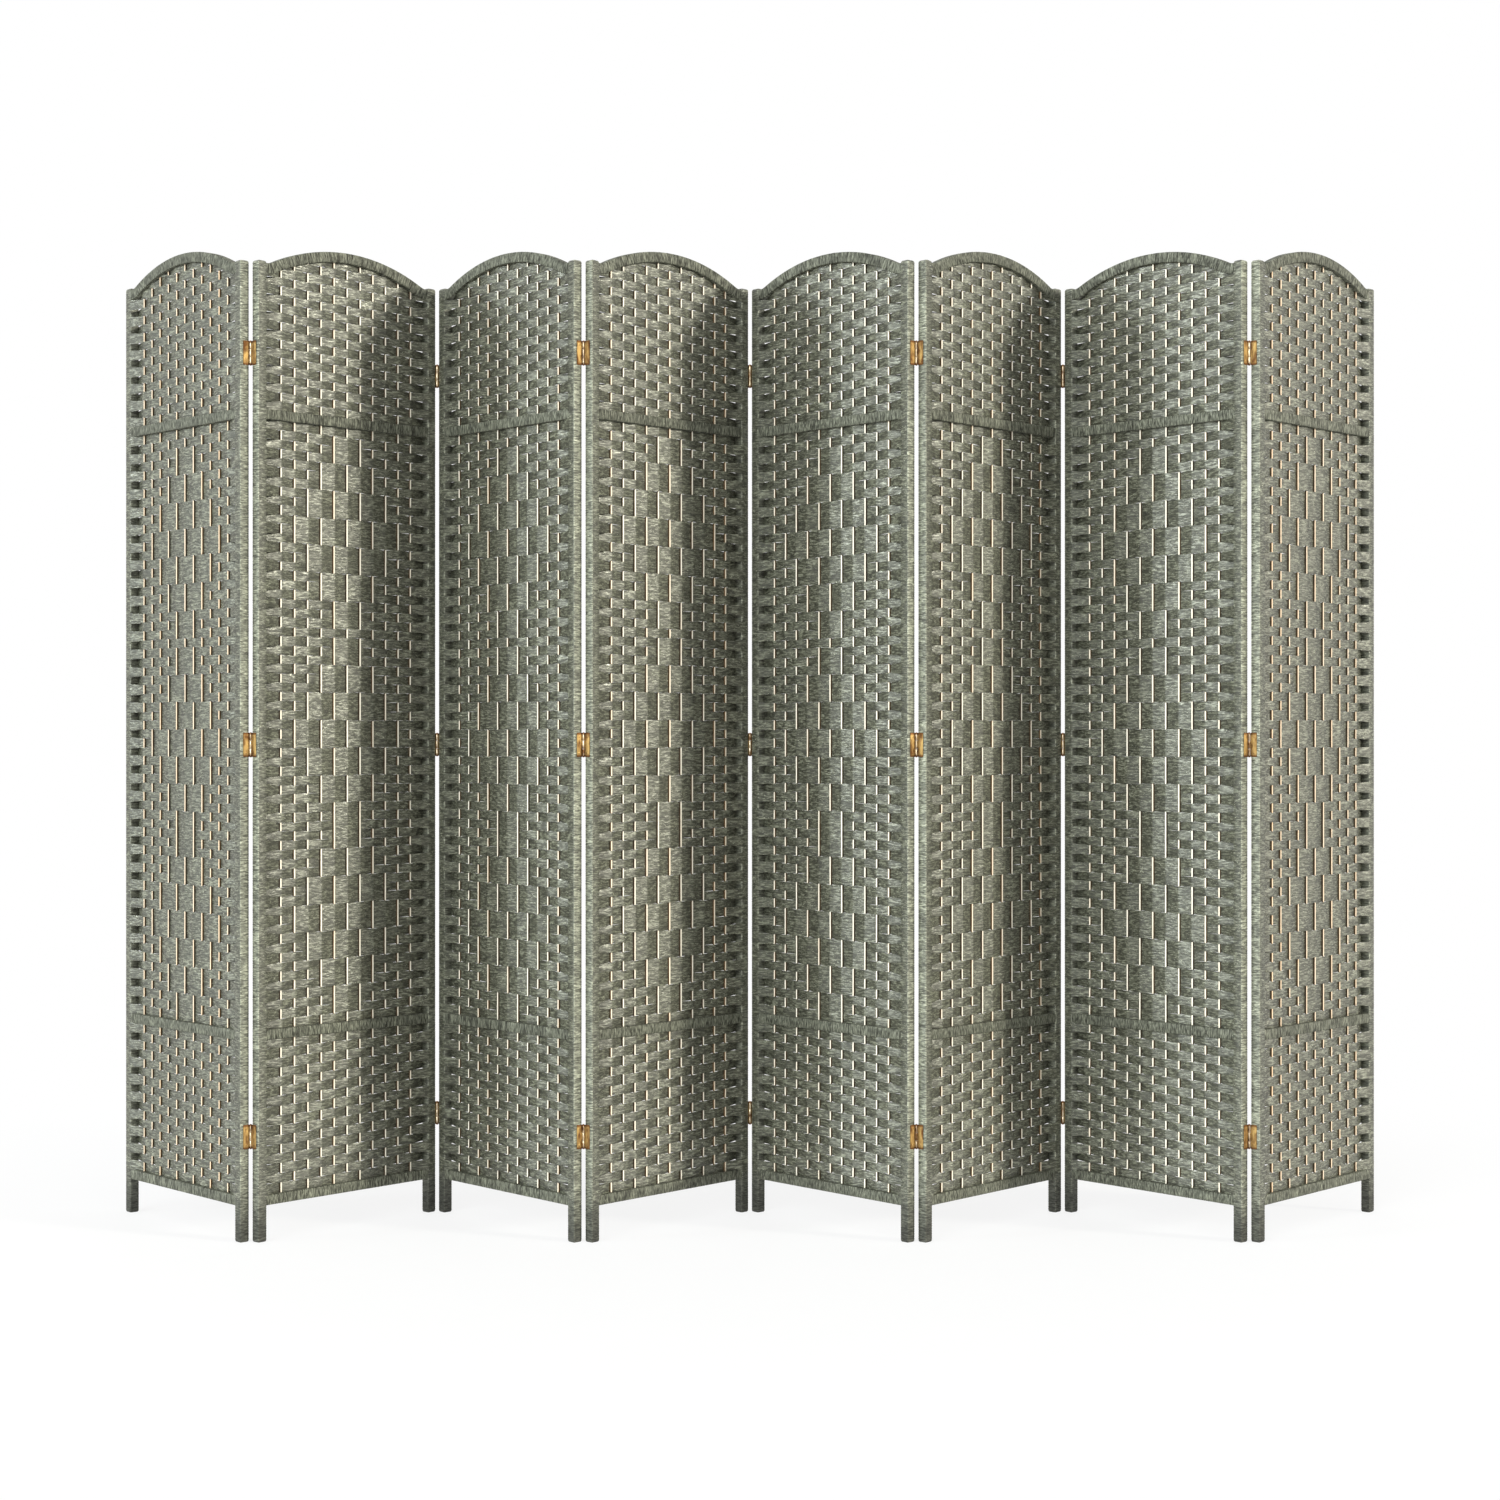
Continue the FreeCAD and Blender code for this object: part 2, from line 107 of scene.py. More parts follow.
class ScreenSizes(bpy.types.PropertyGroup):
    panel_width: length("Panel width", "Over the end faces of a panel's posts", 0.4)
    post_height: length("Post height", "From the floor", 1.7)
    post_width: length("Post width", "Along the panel and through it", 0.018)
    post_round: length("Post rounding", "Radius of the wound edges", 0.0016)
    rail_height: length("Rail height", "Straight rails", 0.018)
    bottom_rail: length("Bottom rail", "Level of its underside", 0.062)
    lower_rail: length("Lower rail", "Level of its underside", 0.349)
    upper_rail: length("Upper rail", "Level of its underside", 1.426)
    arch_crown: length("Arch crown", "Above the post tops", 0.038)
    arch_drop: length("Arch drop", "Ends of the arch below the post tops", 0.003)
    arch_depth: length("Arch depth", "From its outer to its inner curve", 0.0185)
    arch_flare: length("Arch flare", "Reverse curve at the posts", 0.04)
    top_row: length("Top row", "Height of a row in the top field", 0.0155)
    reed_width: length("Reed width", "Flat upright reeds, along the panel", 0.0044)
    reed_thickness: length("Reed thickness", "Flat upright reeds, through the panel", 0.0028)
    reed_round: length("Reed rounding", "Radius of the reeds' edges", 0.0006)
    reed_margin: length("Reed margin", "From a post to the first reed", 0.036)
    ribbon_thickness: length("Ribbon thickness", "Flat bundle of paper strands", 0.0014)
    row_gap: length("Row gap", "Between rows on the two sides of a reed", 0.0005)
    post_strand: length("Post strand", "Pitch of the winding on the posts", 0.0042)
    rail_strand: length("Rail strand", "Pitch of the winding on the rails", 0.003)
    hinge_height: length("Hinge height", "Leaves and barrel", 0.042)
    lowest_hinge: length("Lowest hinge", "Level of its middle", 0.182)
    highest_hinge: length("Highest hinge", "Level of its middle", 1.54)
    leaf_width: length("Leaf width", "On the end face of a post", 0.012)
    leaf_thickness: length("Leaf thickness", "Hinge leaf", 0.0012)
    barrel_radius: length("Barrel radius", "Hinge barrel", 0.002)
    end_gap: length("End gap", "Between two panels in a straight line", 0.003)
    fold_angle: FloatProperty(name="Fold angle", description="Turn of each panel", subtype="ANGLE",
                              default=math.radians(47.5))


class ScreenColours(bpy.types.PropertyGroup):
    ribbon: tint("Ribbon", "Grey-green twisted paper", (0.043, 0.044, 0.028))
    # Ribbon shade is painted shade between the strands; ribbon light is a painted highlight on
    # their crests and, brighter, the stray fibres
    ribbon_shade: tint("Ribbon shade", "Between the strands", (0.014, 0.014, 0.008))
    ribbon_highlight_and_fibres: tint("Ribbon light", "Rubbed strands and stray fibres", (0.23, 0.235, 0.175))
    wound: tint("Wound paper", "Strands round posts and rails", (0.072, 0.075, 0.054))
    reed: tint("Reed", "Pale bare reed", (0.89, 0.85, 0.72))
    reed_warm: tint("Warm reed", "Darker reeds and knots", (0.80, 0.52, 0.28))
    # Bark colours: partly the reeds' own bark, partly painted shade of the gap where the ribbon
    # passes behind
    bark_and_gap_shade: tint("Bark", "Edges of the reeds", (0.045, 0.026, 0.011))
    warm_bark_and_gap_shade: tint("Warm bark", "Edges of some reeds", (0.12, 0.065, 0.022))
    brass: tint("Brass", "Rolled hinge metal", (0.44, 0.295, 0.11))
    # Worn brass also darkens the top and bottom of each hinge
    brass_worn: tint("Worn brass", "Tarnish on the hinges", (0.15, 0.068, 0.026))
    # Knuckle and pin brass: its pale colour is partly rubbed metal and partly a painted highlight
    # along the barrels
    brass_rubbed_and_highlight: tint("Rubbed brass", "Knuckles and pins", (0.78, 0.64, 0.44))
    floor: tint("Floor", "Pale studio floor", (0.90, 0.90, 0.90))


# Places in a panel's own frame: X along it from its left end, Y through it, Z up

INNER_CURVE_STEP = 0.004


def across_pin(sizes):
    """From a panel's middle plane to its pins."""
    return sizes.post_width / 2 + sizes.barrel_radius


def panel_matrix(sizes, panel):
    """Where a panel stands: it turns about the pins of its near fold, behind its back face."""
    comes_forward = panel % 2 == ODD
    fold = panel if comes_forward else panel - 1
    pin = JOINT_PLACES["fold_%d_hinges" % fold]
    along = sizes.panel_width + sizes.end_gap / 2 if comes_forward else -sizes.end_gap / 2
    turn = -sizes.fold_angle if comes_forward else sizes.fold_angle
    to_pin = Matrix.Translation((-along, -across_pin(sizes), 0))
    return Matrix.Translation((pin[0], pin[1], 0)) @ Matrix.Rotation(turn, 4, "Z") @ to_pin


def reed_places(sizes):
    first = sizes.post_width + sizes.reed_margin
    return np.linspace(first, sizes.panel_width - first, REEDS)


def arch_circles(sizes):
    """Radius and centre level of the arch's outer curve, and its swing to each side."""
    half_span = sizes.panel_width / 2 - sizes.post_width
    end_level = sizes.post_height - sizes.arch_drop
    crown = sizes.post_height + sizes.arch_crown
    lift = end_level + sizes.arch_flare - crown
    radius = (half_span**2 + lift**2 - sizes.arch_flare**2) / (2 * (sizes.arch_flare - lift))
    centre = crown - radius
    swing = math.atan2(half_span, end_level + sizes.arch_flare - centre)
    return radius, centre, swing


def arch_path(sizes, depth, step):
    """Points and outward directions along the arch, a given depth under its outer curve."""
    radius, centre, swing = arch_circles(sizes)
    flare = sizes.arch_flare + depth
    flare_level = sizes.post_height - sizes.arch_drop + sizes.arch_flare
    main = radius - depth
    steps = max(3, int(flare * swing / step))
    turns = np.linspace(0, swing, steps, endpoint=False)
    x = sizes.post_width + flare * np.sin(turns)
    z = flare_level - flare * np.cos(turns)
    left = np.column_stack([x, z, -np.sin(turns), np.cos(turns)])
    turns = np.linspace(-swing, swing, int(2 * main * swing / step))
    x = sizes.panel_width / 2 + main * np.sin(turns)
    over = np.column_stack([x, centre + main * np.cos(turns), np.sin(turns), np.cos(turns)])
    right = left[::-1] * (-1, 1, -1, 1) + (sizes.panel_width, 0, 0, 0)
    return np.vstack([left, over, right])


def arch_inner_curve(sizes):
    """Points (x, level) along the arch's inner curve."""
    return arch_path(sizes, sizes.arch_depth, INNER_CURVE_STEP)[:, :2]


# Lofts: rings of points joined into strips

BAKE_LAYER = "OFBake"
STRIP_FILL = 0.9
LOFT_CREASE = math.radians(40)


def place_object(name, data):
    thing = bpy.data.objects.new(name, data)
    bpy.context.scene.collection.objects.link(thing)
    return thing


class Loft:
    """A mesh of closed strips. Each ring point also has a place on its strand (along, across and
    a seed), which the face corners keep for the pattern of paper or reed."""

    def __init__(self):
        self.points = []
        self.faces = []
        self.places = []
        self.maps = []
        self.count = 0
        self.strips = 0

    def add(self, rings, places):
        """rings is (n, m, 3) and closed round m; places is (n, m + 1, 3)."""
        n, m = rings.shape[:2]
        index = self.count + np.arange(n * m).reshape(n, m)
        wrap = np.roll(index, -1, axis=1)
        quads = np.stack([index[:-1], wrap[:-1], wrap[1:], index[1:]], axis=-1)
        run, turn = np.meshgrid(np.linspace(0, 1, n), np.linspace(0, STRIP_FILL, m + 1),
                                indexing="ij")
        flat = np.stack([run, turn + self.strips], axis=-1)
        self.points.append(rings.reshape(-1, 3))
        self.faces += quads.reshape(-1, 4).tolist()
        self.faces += [index[0][::-1].tolist(), index[-1].tolist()]
        self.places += self.on_corners(places)
        self.maps += self.on_corners(flat)
        self.count += n * m
        self.strips += 1

    def on_corners(self, values):
        """Ring points' values in the order of the corners of a strip's faces and two ends."""
        corners = np.stack([values[:-1, :-1], values[:-1, 1:], values[1:, 1:], values[1:, :-1]],
                           axis=2)
        return [corners.reshape(-1, values.shape[-1]), values[0, :-1][::-1], values[-1, :-1]]

    def build(self, name, matrix, material):
        mesh = bpy.data.meshes.new(name)
        mesh.from_pydata(np.vstack(self.points), [], self.faces)
        strand = mesh.attributes.new("strand", "FLOAT_VECTOR", "CORNER")
        strand.data.foreach_set("vector", np.vstack(self.places).astype(np.float32).ravel())
        spots = np.vstack(self.maps) / (1, self.strips)
        layer = mesh.uv_layers.new(name=BAKE_LAYER, do_init=False)
        layer.uv.foreach_set("vector", spots.astype(np.float32).ravel())
        mesh.transform(matrix)
        mesh.shade_smooth()
        mesh.set_sharp_from_angle(angle=LOFT_CREASE)
        mesh.materials.append(material)
        return place_object(name, mesh)


def point_grid(*values):
    """Joins arrays that spread to one shape into a grid of points."""
    return np.stack(np.broadcast_arrays(*values), axis=-1)


def close_round(values):
    """Repeats the first column after the last one."""
    return np.column_stack([values, values[:, 0]])


def rounded_section(width, depth, rounding, corner_points):
    """Outline of a bar's section, counter-clockwise, with rounded corners."""
    outline = []
    for quarter, (x, y) in enumerate([(1, 1), (-1, 1), (-1, -1), (1, -1)]):
        for turn in np.linspace(0, math.pi / 2, corner_points):
            angle = turn + quarter * math.pi / 2
            outline.append((x * (width / 2 - rounding) + rounding * math.cos(angle),
                            y * (depth / 2 - rounding) + rounding * math.sin(angle)))
    return np.array(outline)


def perimeter(outline):
    """Distance round an outline to each of its points, and back to the first."""
    steps = np.linalg.norm(np.roll(outline, -1, axis=0) - outline, axis=1)
    return np.concatenate([[0], np.cumsum(steps)])


# Shared patterns, with the colour sockets of a Mix node and how dark the painted shade makes a
# post's foot

POST_FOOT_PAINTED_SHADE = 0.2
COLOUR_A = 6
COLOUR_B = 7
COLOUR_RESULT = 2


def new_group(name, inputs, outputs):
    group = bpy.data.node_groups.new(name, "ShaderNodeTree")
    for way, sockets in (("INPUT", inputs), ("OUTPUT", outputs)):
        for label, kind in sockets:
            group.interface.new_socket(name=label, in_out=way, socket_type=kind)
    return group


def add_node(tree, kind, links=(), **settings):
    """A node with its settings; links are (input, value or socket)."""
    node = tree.nodes.new(kind)
    for key, value in settings.items():
        setattr(node, key, value)
    for key, value in links:
        if isinstance(value, bpy.types.NodeSocket):
            tree.links.new(value, node.inputs[key])
        else:
            node.inputs[key].default_value = value
    return node


def arithmetic(tree, operation, *values):
    return add_node(tree, "ShaderNodeMath", enumerate(values), operation=operation).outputs[0]


def total(tree, result, *others):
    for value in others:
        result = arithmetic(tree, "ADD", result, value)
    return result


def remap(tree, value, low, high, to_low=0.0, to_high=1.0):
    node = add_node(tree, "ShaderNodeMapRange", [("Value", value), ("From Min", low),
                                                 ("From Max", high), ("To Min", to_low),
                                                 ("To Max", to_high)])
    return node.outputs["Result"]


def stretched_noise(tree, place, scale, detail):
    """Noise whose cells are stretched by the three scales."""
    spread = add_node(tree, "ShaderNodeVectorMath", [(0, place), (1, scale)], operation="MULTIPLY")
    noise = add_node(tree, "ShaderNodeTexNoise", [("Vector", spread.outputs[0]), ("Scale", 1.0),
                                                  ("Detail", detail)])
    return noise.outputs["Fac"]


def own_tone(tree, seed):
    """A number from 0 to 1 that each seed has for itself."""
    noise = add_node(tree, "ShaderNodeTexWhiteNoise", [("W", seed)], noise_dimensions="1D")
    return noise.outputs["Value"]


def blend_colours(tree, factor, first, second):
    node = add_node(tree, "ShaderNodeMix", [("Factor", factor), (COLOUR_A, first),
                                            (COLOUR_B, second)], data_type="RGBA")
    return node.outputs[COLOUR_RESULT]


def scale_colour(tree, colour, factor):
    node = add_node(tree, "ShaderNodeVectorMath", [(0, colour), ("Scale", factor)],
                    operation="SCALE")
    return node.outputs[0]


def strand_place(tree):
    """The place on its strand that a loft keeps, whole and as along, across and seed."""
    place = add_node(tree, "ShaderNodeAttribute", attribute_name="strand").outputs["Vector"]
    return place, add_node(tree, "ShaderNodeSeparateXYZ", [(0, place)]).outputs


def paper_pattern():
    """Bundles of twisted paper strands: colour, roughness and height."""
    name = "Twisted paper"
    if name in bpy.data.node_groups:
        return bpy.data.node_groups[name]
    colour, number = "NodeSocketColor", "NodeSocketFloat"
    group = new_group(name, [("Shade", colour), ("Paper", colour), ("Light", colour),
                             ("Fibres", number), ("Bundle Width", number), ("Evenness", number),
                             ("Sheen", number), ("Painted Foot Shade", number), ("Edge", number)],
                      [("Colour", colour), ("Roughness", number), ("Height", number)])
    given = add_node(group, "NodeGroupInput").outputs
    along, across, strand_seed = strand_place(group)[1]
    seed = arithmetic(group, "MULTIPLY", strand_seed, 40.0)
    cell = add_node(group, "ShaderNodeCombineXYZ", [
        (0, arithmetic(group, "MULTIPLY", along, 60.0)),
        (1, arithmetic(group, "DIVIDE", across, given["Bundle Width"])), (2, seed)]).outputs[0]
    bundles = stretched_noise(group, cell, (1.4, 1.0, 1.0), detail=1.0)
    strands = stretched_noise(group, cell, (2.8, 2.5, 1.0), detail=2.0)
    patches = stretched_noise(group, cell, (0.3, 0.12, 1.0), detail=1.0)
    fibres = stretched_noise(group, cell, (5.0, 2.6, 1.7), detail=1.0)
    lift = total(group, arithmetic(group, "MULTIPLY", bundles, 0.55),
                 arithmetic(group, "MULTIPLY", strands, 0.45))

    # Colour: painted shade in the grooves, a painted highlight on the crests, and a few light
    # frayed fibres
    grooves = arithmetic(group, "MAXIMUM", remap(group, bundles, 0.34, 0.5), given["Evenness"])
    base = blend_colours(group, grooves, given["Shade"], given["Paper"])
    crests = arithmetic(group, "MULTIPLY", remap(group, lift, 0.5, 0.64), 0.8)
    base = blend_colours(group, crests, base, given["Light"])
    frayed = arithmetic(group, "MULTIPLY", remap(group, fibres, 0.68, 0.74), given["Fibres"])
    base = blend_colours(group, frayed, base, scale_colour(group, given["Light"], 2.4))

    # Tone: patches, each strand's own, a painted highlight on a post's corners with a lighter end
    # face, and painted shade darkening a post's foot
    end_tone_and_corner_highlight = arithmetic(group, "MULTIPLY", given["Edge"],
                        remap(group, patches, 0.3, 0.6, 0.35, 1.0))
    mottle = total(group, remap(group, patches, 0.3, 0.7, 0.82, 1.18),
                   remap(group, own_tone(group, seed), 0.0, 1.0, -0.1, 0.1), end_tone_and_corner_highlight)
    # Painted shade: a post's colour darkens towards its foot
    foot = remap(group, across, 0.02, 0.12, given["Painted Foot Shade"], 1.0)
    shaded = scale_colour(group, base, arithmetic(group, "MULTIPLY", mottle, foot))

    # Roughness: crests are smoother, and a post's foot is dull
    rough = arithmetic(group, "SUBTRACT", remap(group, lift, 0.42, 0.58, 0.76, 0.53),
                       given["Sheen"])
    rough = total(group, rough, remap(group, foot, POST_FOOT_PAINTED_SHADE, 1.0, 0.4, 0.0))
    height = total(group, remap(group, lift, 0.36, 0.64),
                   arithmetic(group, "MULTIPLY", frayed, 0.5))
    add_node(group, "NodeGroupOutput", [("Colour", shaded), ("Roughness", rough),
                                        ("Height", height)])
    return group


# Materials

PAPER_GLOSS_TINT = (1.0, 0.99, 0.9, 1.0)
WARM_SEEDS = 100.0


def new_material(name):
    material = bpy.data.materials.new(name)
    material.use_nodes = True
    return material, material.node_tree, material.node_tree.nodes["Principled BSDF"]


def join_pattern(tree, shader, colour, roughness, height, depth, strength):
    """Gives a shader its colour and roughness, and a bump of a given depth."""
    bump = add_node(tree, "ShaderNodeBump", [("Height", height), ("Distance", depth),
                                             ("Strength", strength)])
    tree.links.new(colour, shader.inputs["Base Color"])
    tree.links.new(roughness, shader.inputs["Roughness"])
    tree.links.new(bump.outputs["Normal"], shader.inputs["Normal"])


def lighter_end_and_highlit_corners(tree, amount):
    """Where a post's colour is made lighter: a painted highlight along its four corners, and a
    lighter tone all over its end face.
    """
    sizes = bpy.context.scene.screen_sizes
    corner = math.pi / 2 * sizes.post_round
    side = sizes.post_width - 2 * sizes.post_round
    run = strand_place(tree)[1][0]
    off_corner = arithmetic(tree, "PINGPONG", arithmetic(tree, "SUBTRACT", run, corner / 2),
                            (corner + side) / 2)
    off_end = arithmetic(tree, "ABSOLUTE",
                         arithmetic(tree, "SUBTRACT", run, 2 * corner + 1.5 * side))
    return total(tree, remap(tree, off_corner, 0.0006, 0.0018, amount, 0.0),
                 remap(tree, off_end, side / 2, side / 2 + corner, amount, 0.0))


def paper_material(name, paper, fibres, bundle, bump, evenness, sheen, shine, foot=1.0, edges=0.0):
    """Paper strands, as ribbon or wound tight. A post's foot is darkened with painted shade; its
    corners get a painted highlight and its end face a lighter tone.
    """
    if name in bpy.data.materials:
        return bpy.data.materials[name]
    colours = bpy.context.scene.screen_colours
    material, tree, shader = new_material(name)
    shader.inputs["Specular IOR Level"].default_value = shine
    shader.inputs["Specular Tint"].default_value = PAPER_GLOSS_TINT
    pattern = add_node(tree, "ShaderNodeGroup", [
        ("Shade", (*colours.ribbon_shade, 1)), ("Paper", (*paper, 1)),
        ("Light", (*colours.ribbon_highlight_and_fibres, 1)), ("Fibres", fibres), ("Bundle Width", bundle),
        ("Evenness", evenness), ("Sheen", sheen), ("Painted Foot Shade", foot)], node_tree=paper_pattern())
    # Painted highlight on a post's corners and a lighter tone on its end face
    if edges:
        tree.links.new(lighter_end_and_highlit_corners(tree, edges), pattern.inputs["Edge"])
    join_pattern(tree, shader, pattern.outputs["Colour"], pattern.outputs["Roughness"],
                 pattern.outputs["Height"], bump, 1.0)
    return material


def reed_material():
    """Pale reed with dark bark on its edges, made darker still as painted shade for the gap where
    the ribbon passes behind, long fibres and a tone of its own for each reed.
    """
    name = "Pale reed"
    if name in bpy.data.materials:
        return bpy.data.materials[name]
    colours = bpy.context.scene.screen_colours
    sizes = bpy.context.scene.screen_sizes
    material, tree, shader = new_material(name)
    place, (_, run, seed) = strand_place(tree)
    grain = stretched_noise(tree, place, (14.0, 2600.0, 31.0), detail=3.0)
    patches = stretched_noise(tree, place, (9.0, 120.0, 17.0), detail=1.0)
    tone = own_tone(tree, seed)
    warmth = total(tree, remap(tree, tone, 0.4, 1.0, 0.0, 0.24),
                   remap(tree, patches, 0.4, 0.75, 0.0, 0.18),
                   remap(tree, grain, 0.45, 0.7, 0.0, 0.14),
                   remap(tree, seed, WARM_SEEDS - 1, WARM_SEEDS, 0.0, 0.45))
    colour = blend_colours(tree, warmth, (*colours.reed, 1), (*colours.reed_warm, 1))
    corner = math.pi / 2 * sizes.reed_round
    face = sizes.reed_width - 2 * sizes.reed_round
    side = sizes.reed_thickness - 2 * sizes.reed_round
    from_face = arithmetic(tree, "SUBTRACT", run, corner + face / 2)
    off_face = arithmetic(tree, "PINGPONG", from_face, corner + (face + side) / 2)
    # The two narrow sides take bark, its dark colour partly the bark and partly painted shade of
    # the gap behind the reed
    edge = remap(tree, off_face, face / 2 - 0.0004, face / 2)
    bark_and_gap_shade = blend_colours(tree, remap(tree, tone, 0.2, 0.9), (*colours.bark_and_gap_shade, 1),
                         (*colours.warm_bark_and_gap_shade, 1))
    join_pattern(tree, shader, blend_colours(tree, edge, colour, bark_and_gap_shade),
                 remap(tree, grain, 0.3, 0.7, 0.45, 0.62), grain, 0.0002, 0.5)
    return material


def brass_material(name, metal, tarnish, rough):
    """Rolled brass with fine scratches and tarnish in patches, and darker towards the top and
    bottom of each hinge.
    """
    if name in bpy.data.materials:
        return bpy.data.materials[name]
    colours = bpy.context.scene.screen_colours
    sizes = bpy.context.scene.screen_sizes
    material, tree, shader = new_material(name)
    shader.inputs["Metallic"].default_value = 1.0
    place = add_node(tree, "ShaderNodeTexCoord").outputs["Object"]
    level = add_node(tree, "ShaderNodeSeparateXYZ", [(0, place)]).outputs[2]
    off_middle = arithmetic(tree, "PINGPONG",
                            arithmetic(tree, "SUBTRACT", level, sizes.lowest_hinge),
                            (sizes.highest_hinge - sizes.lowest_hinge) / 4)
    patches = stretched_noise(tree, place, (130.0, 130.0, 60.0), detail=3.0)
    scratches = stretched_noise(tree, place, (2500.0, 2500.0, 90.0), detail=2.0)
    worn = total(tree, remap(tree, patches, 0.42, 0.68, tarnish, 1.0),
                 remap(tree, scratches, 0.5, 0.75, 0.0, 0.25))
    half = sizes.hinge_height / 2
    # Darker towards the top and bottom of each hinge
    ends = remap(tree, off_middle, half - 0.006, half - 0.002)
    colour = blend_colours(tree, arithmetic(tree, "MAXIMUM", worn, ends), (*metal, 1),
                           (*colours.brass_worn, 1))
    join_pattern(tree, shader, colour, remap(tree, patches, 0.3, 0.7, rough, rough + 0.14),
                 scratches, 0.00005, 0.5)
    return material


# Wound timber: bars are thinner through the panel than a post is wide, by their slack

POST_SLACK = 0.0004
RAIL_SLACK = 0.0012
ARCH_SLACK = 0.0008
RAIL_TENON = 0.001
POST_RELIEF = 0.0003
RAIL_RELIEF = 0.0004
TWIST_EASE = 0.02

# Rings at the ends of a post: levels from its foot or its top, and relief of each ring

FOOT_LEVELS = (0, 0.0012)
FOOT_RELIEF = (-0.0022, -0.0007)
WINDING_FROM = 0.003
WINDING_TO = -0.0045
TOP_LEVELS = (-0.0018, 0, 0.0007)
TOP_RELIEF = (-0.0006, -0.0026, -0.0056)


def winding(random, count, depth):
    """Two levels a strand, its groove and its ridge, with a little unevenness."""
    relief = np.where(np.arange(count) % 2 == 0, -depth, 0)
    return relief + random.uniform(-0.35, 0.2, count) * depth


def pushed_out(outline, relief):
    """The section of each ring, moved out from its middle by the ring's relief."""
    away = outline / np.linalg.norm(outline, axis=1)[:, None]
    return outline[None] + away[None] * relief[:, None, None]


def post_rings(sizes, side, random):
    """Sections up a post: wound in a slow spiral, eased at the foot and domed at the top. Its run
    starts and ends on the inner face."""
    outline = rounded_section(sizes.post_width, sizes.post_width - POST_SLACK, sizes.post_round, 4)
    if side == "right":
        outline = -outline
    run = perimeter(outline)
    count = 2 * int(sizes.post_height / sizes.post_strand)
    levels = np.linspace(WINDING_FROM, sizes.post_height + WINDING_TO, count)
    levels = np.concatenate([FOOT_LEVELS, levels, sizes.post_height + np.array(TOP_LEVELS)])
    relief = np.concatenate([FOOT_RELIEF, winding(random, count, POST_RELIEF), TOP_RELIEF])
    twist = (run[:-1] / run[-1] - 0.5) * sizes.post_strand
    from_ends = np.minimum(levels - FOOT_LEVELS[-1], levels[-len(TOP_LEVELS)] - levels)
    share = np.clip(from_ends / TWIST_EASE, 0, 1)
    z = levels[:, None] + twist[None] * share[:, None]
    places = point_grid(run[None], close_round(z), random.uniform(1, 9))
    return np.dstack([pushed_out(outline, relief), z]), places


def wind_post(sizes, panel, side):
    random = np.random.RandomState(100 * panel + (side == "right"))
    rings, places = post_rings(sizes, side, random)
    half = sizes.post_width / 2
    rings[..., 0] += half if side == "left" else sizes.panel_width - half
    loft = Loft()
    loft.add(rings, places)
    # foot darkens the post's foot with painted shade; edges paints a highlight on its corners and
    # lightens its end face
    material = paper_material("Wound posts", bpy.context.scene.screen_colours.wound, fibres=0.5,
                              bundle=0.0021, bump=0.0006, evenness=0.1, sheen=0.2, shine=1.0,
                              foot=POST_FOOT_PAINTED_SHADE, edges=0.85)
    piece = loft.build("panel_%d_%s_post_wound" % (panel, side), panel_matrix(sizes, panel),
                       material)
    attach(piece, "panel_%d" % panel)
    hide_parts("panel_%d_%s_post" % (panel, side))


def wind_posts(sizes, panel):
    for side in ("left", "right"):
        wind_post(sizes, panel, side)


def wind_bar(loft, sizes, random, path, height, slack):
    """Winds a bar along a path of (x, z, up x, up z)."""
    outline = rounded_section(height, sizes.post_width - slack, sizes.post_round, 3)
    section = pushed_out(outline, winding(random, len(path), RAIL_RELIEF))
    x, z, up_x, up_z = path.T[..., None]
    rings = point_grid(x + section[..., 0] * up_x, section[..., 1], z + section[..., 0] * up_z)
    steps = np.linalg.norm(np.diff(path[:, :2], axis=0), axis=1)
    travel = np.concatenate([[0], np.cumsum(steps)])
    loft.add(rings, point_grid(perimeter(outline)[None], travel[:, None], random.uniform(1, 9)))


def wind_rails(sizes, panel):
    random = np.random.RandomState(300 + panel)
    loft = Loft()
    step = sizes.rail_strand / 2
    post = sizes.post_width
    count = int((sizes.panel_width - 2 * post) / step)
    x = np.linspace(post - RAIL_TENON, sizes.panel_width - post + RAIL_TENON, count)
    for level in (sizes.bottom_rail, sizes.lower_rail, sizes.upper_rail):
        path = np.column_stack([x, np.full(count, level + sizes.rail_height / 2), np.zeros(count),
                                np.ones(count)])
        wind_bar(loft, sizes, random, path, sizes.rail_height, RAIL_SLACK)
    wind_bar(loft, sizes, random, arch_path(sizes, sizes.arch_depth / 2, step), sizes.arch_depth,
             ARCH_SLACK)
    material = paper_material("Wound rails", bpy.context.scene.screen_colours.wound, fibres=0.35,
                              bundle=0.0024, bump=0.0006, evenness=0.0, sheen=0.04, shine=0.58)
    piece = loft.build("panel_%d_rails_wound" % panel, panel_matrix(sizes, panel), material)
    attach(piece, "panel_%d" % panel)
    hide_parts("panel_%d_rails" % panel)


# Reeds

REED_TENON = 0.001
REED_RINGS = 24
REED_LEAN = 0.0004


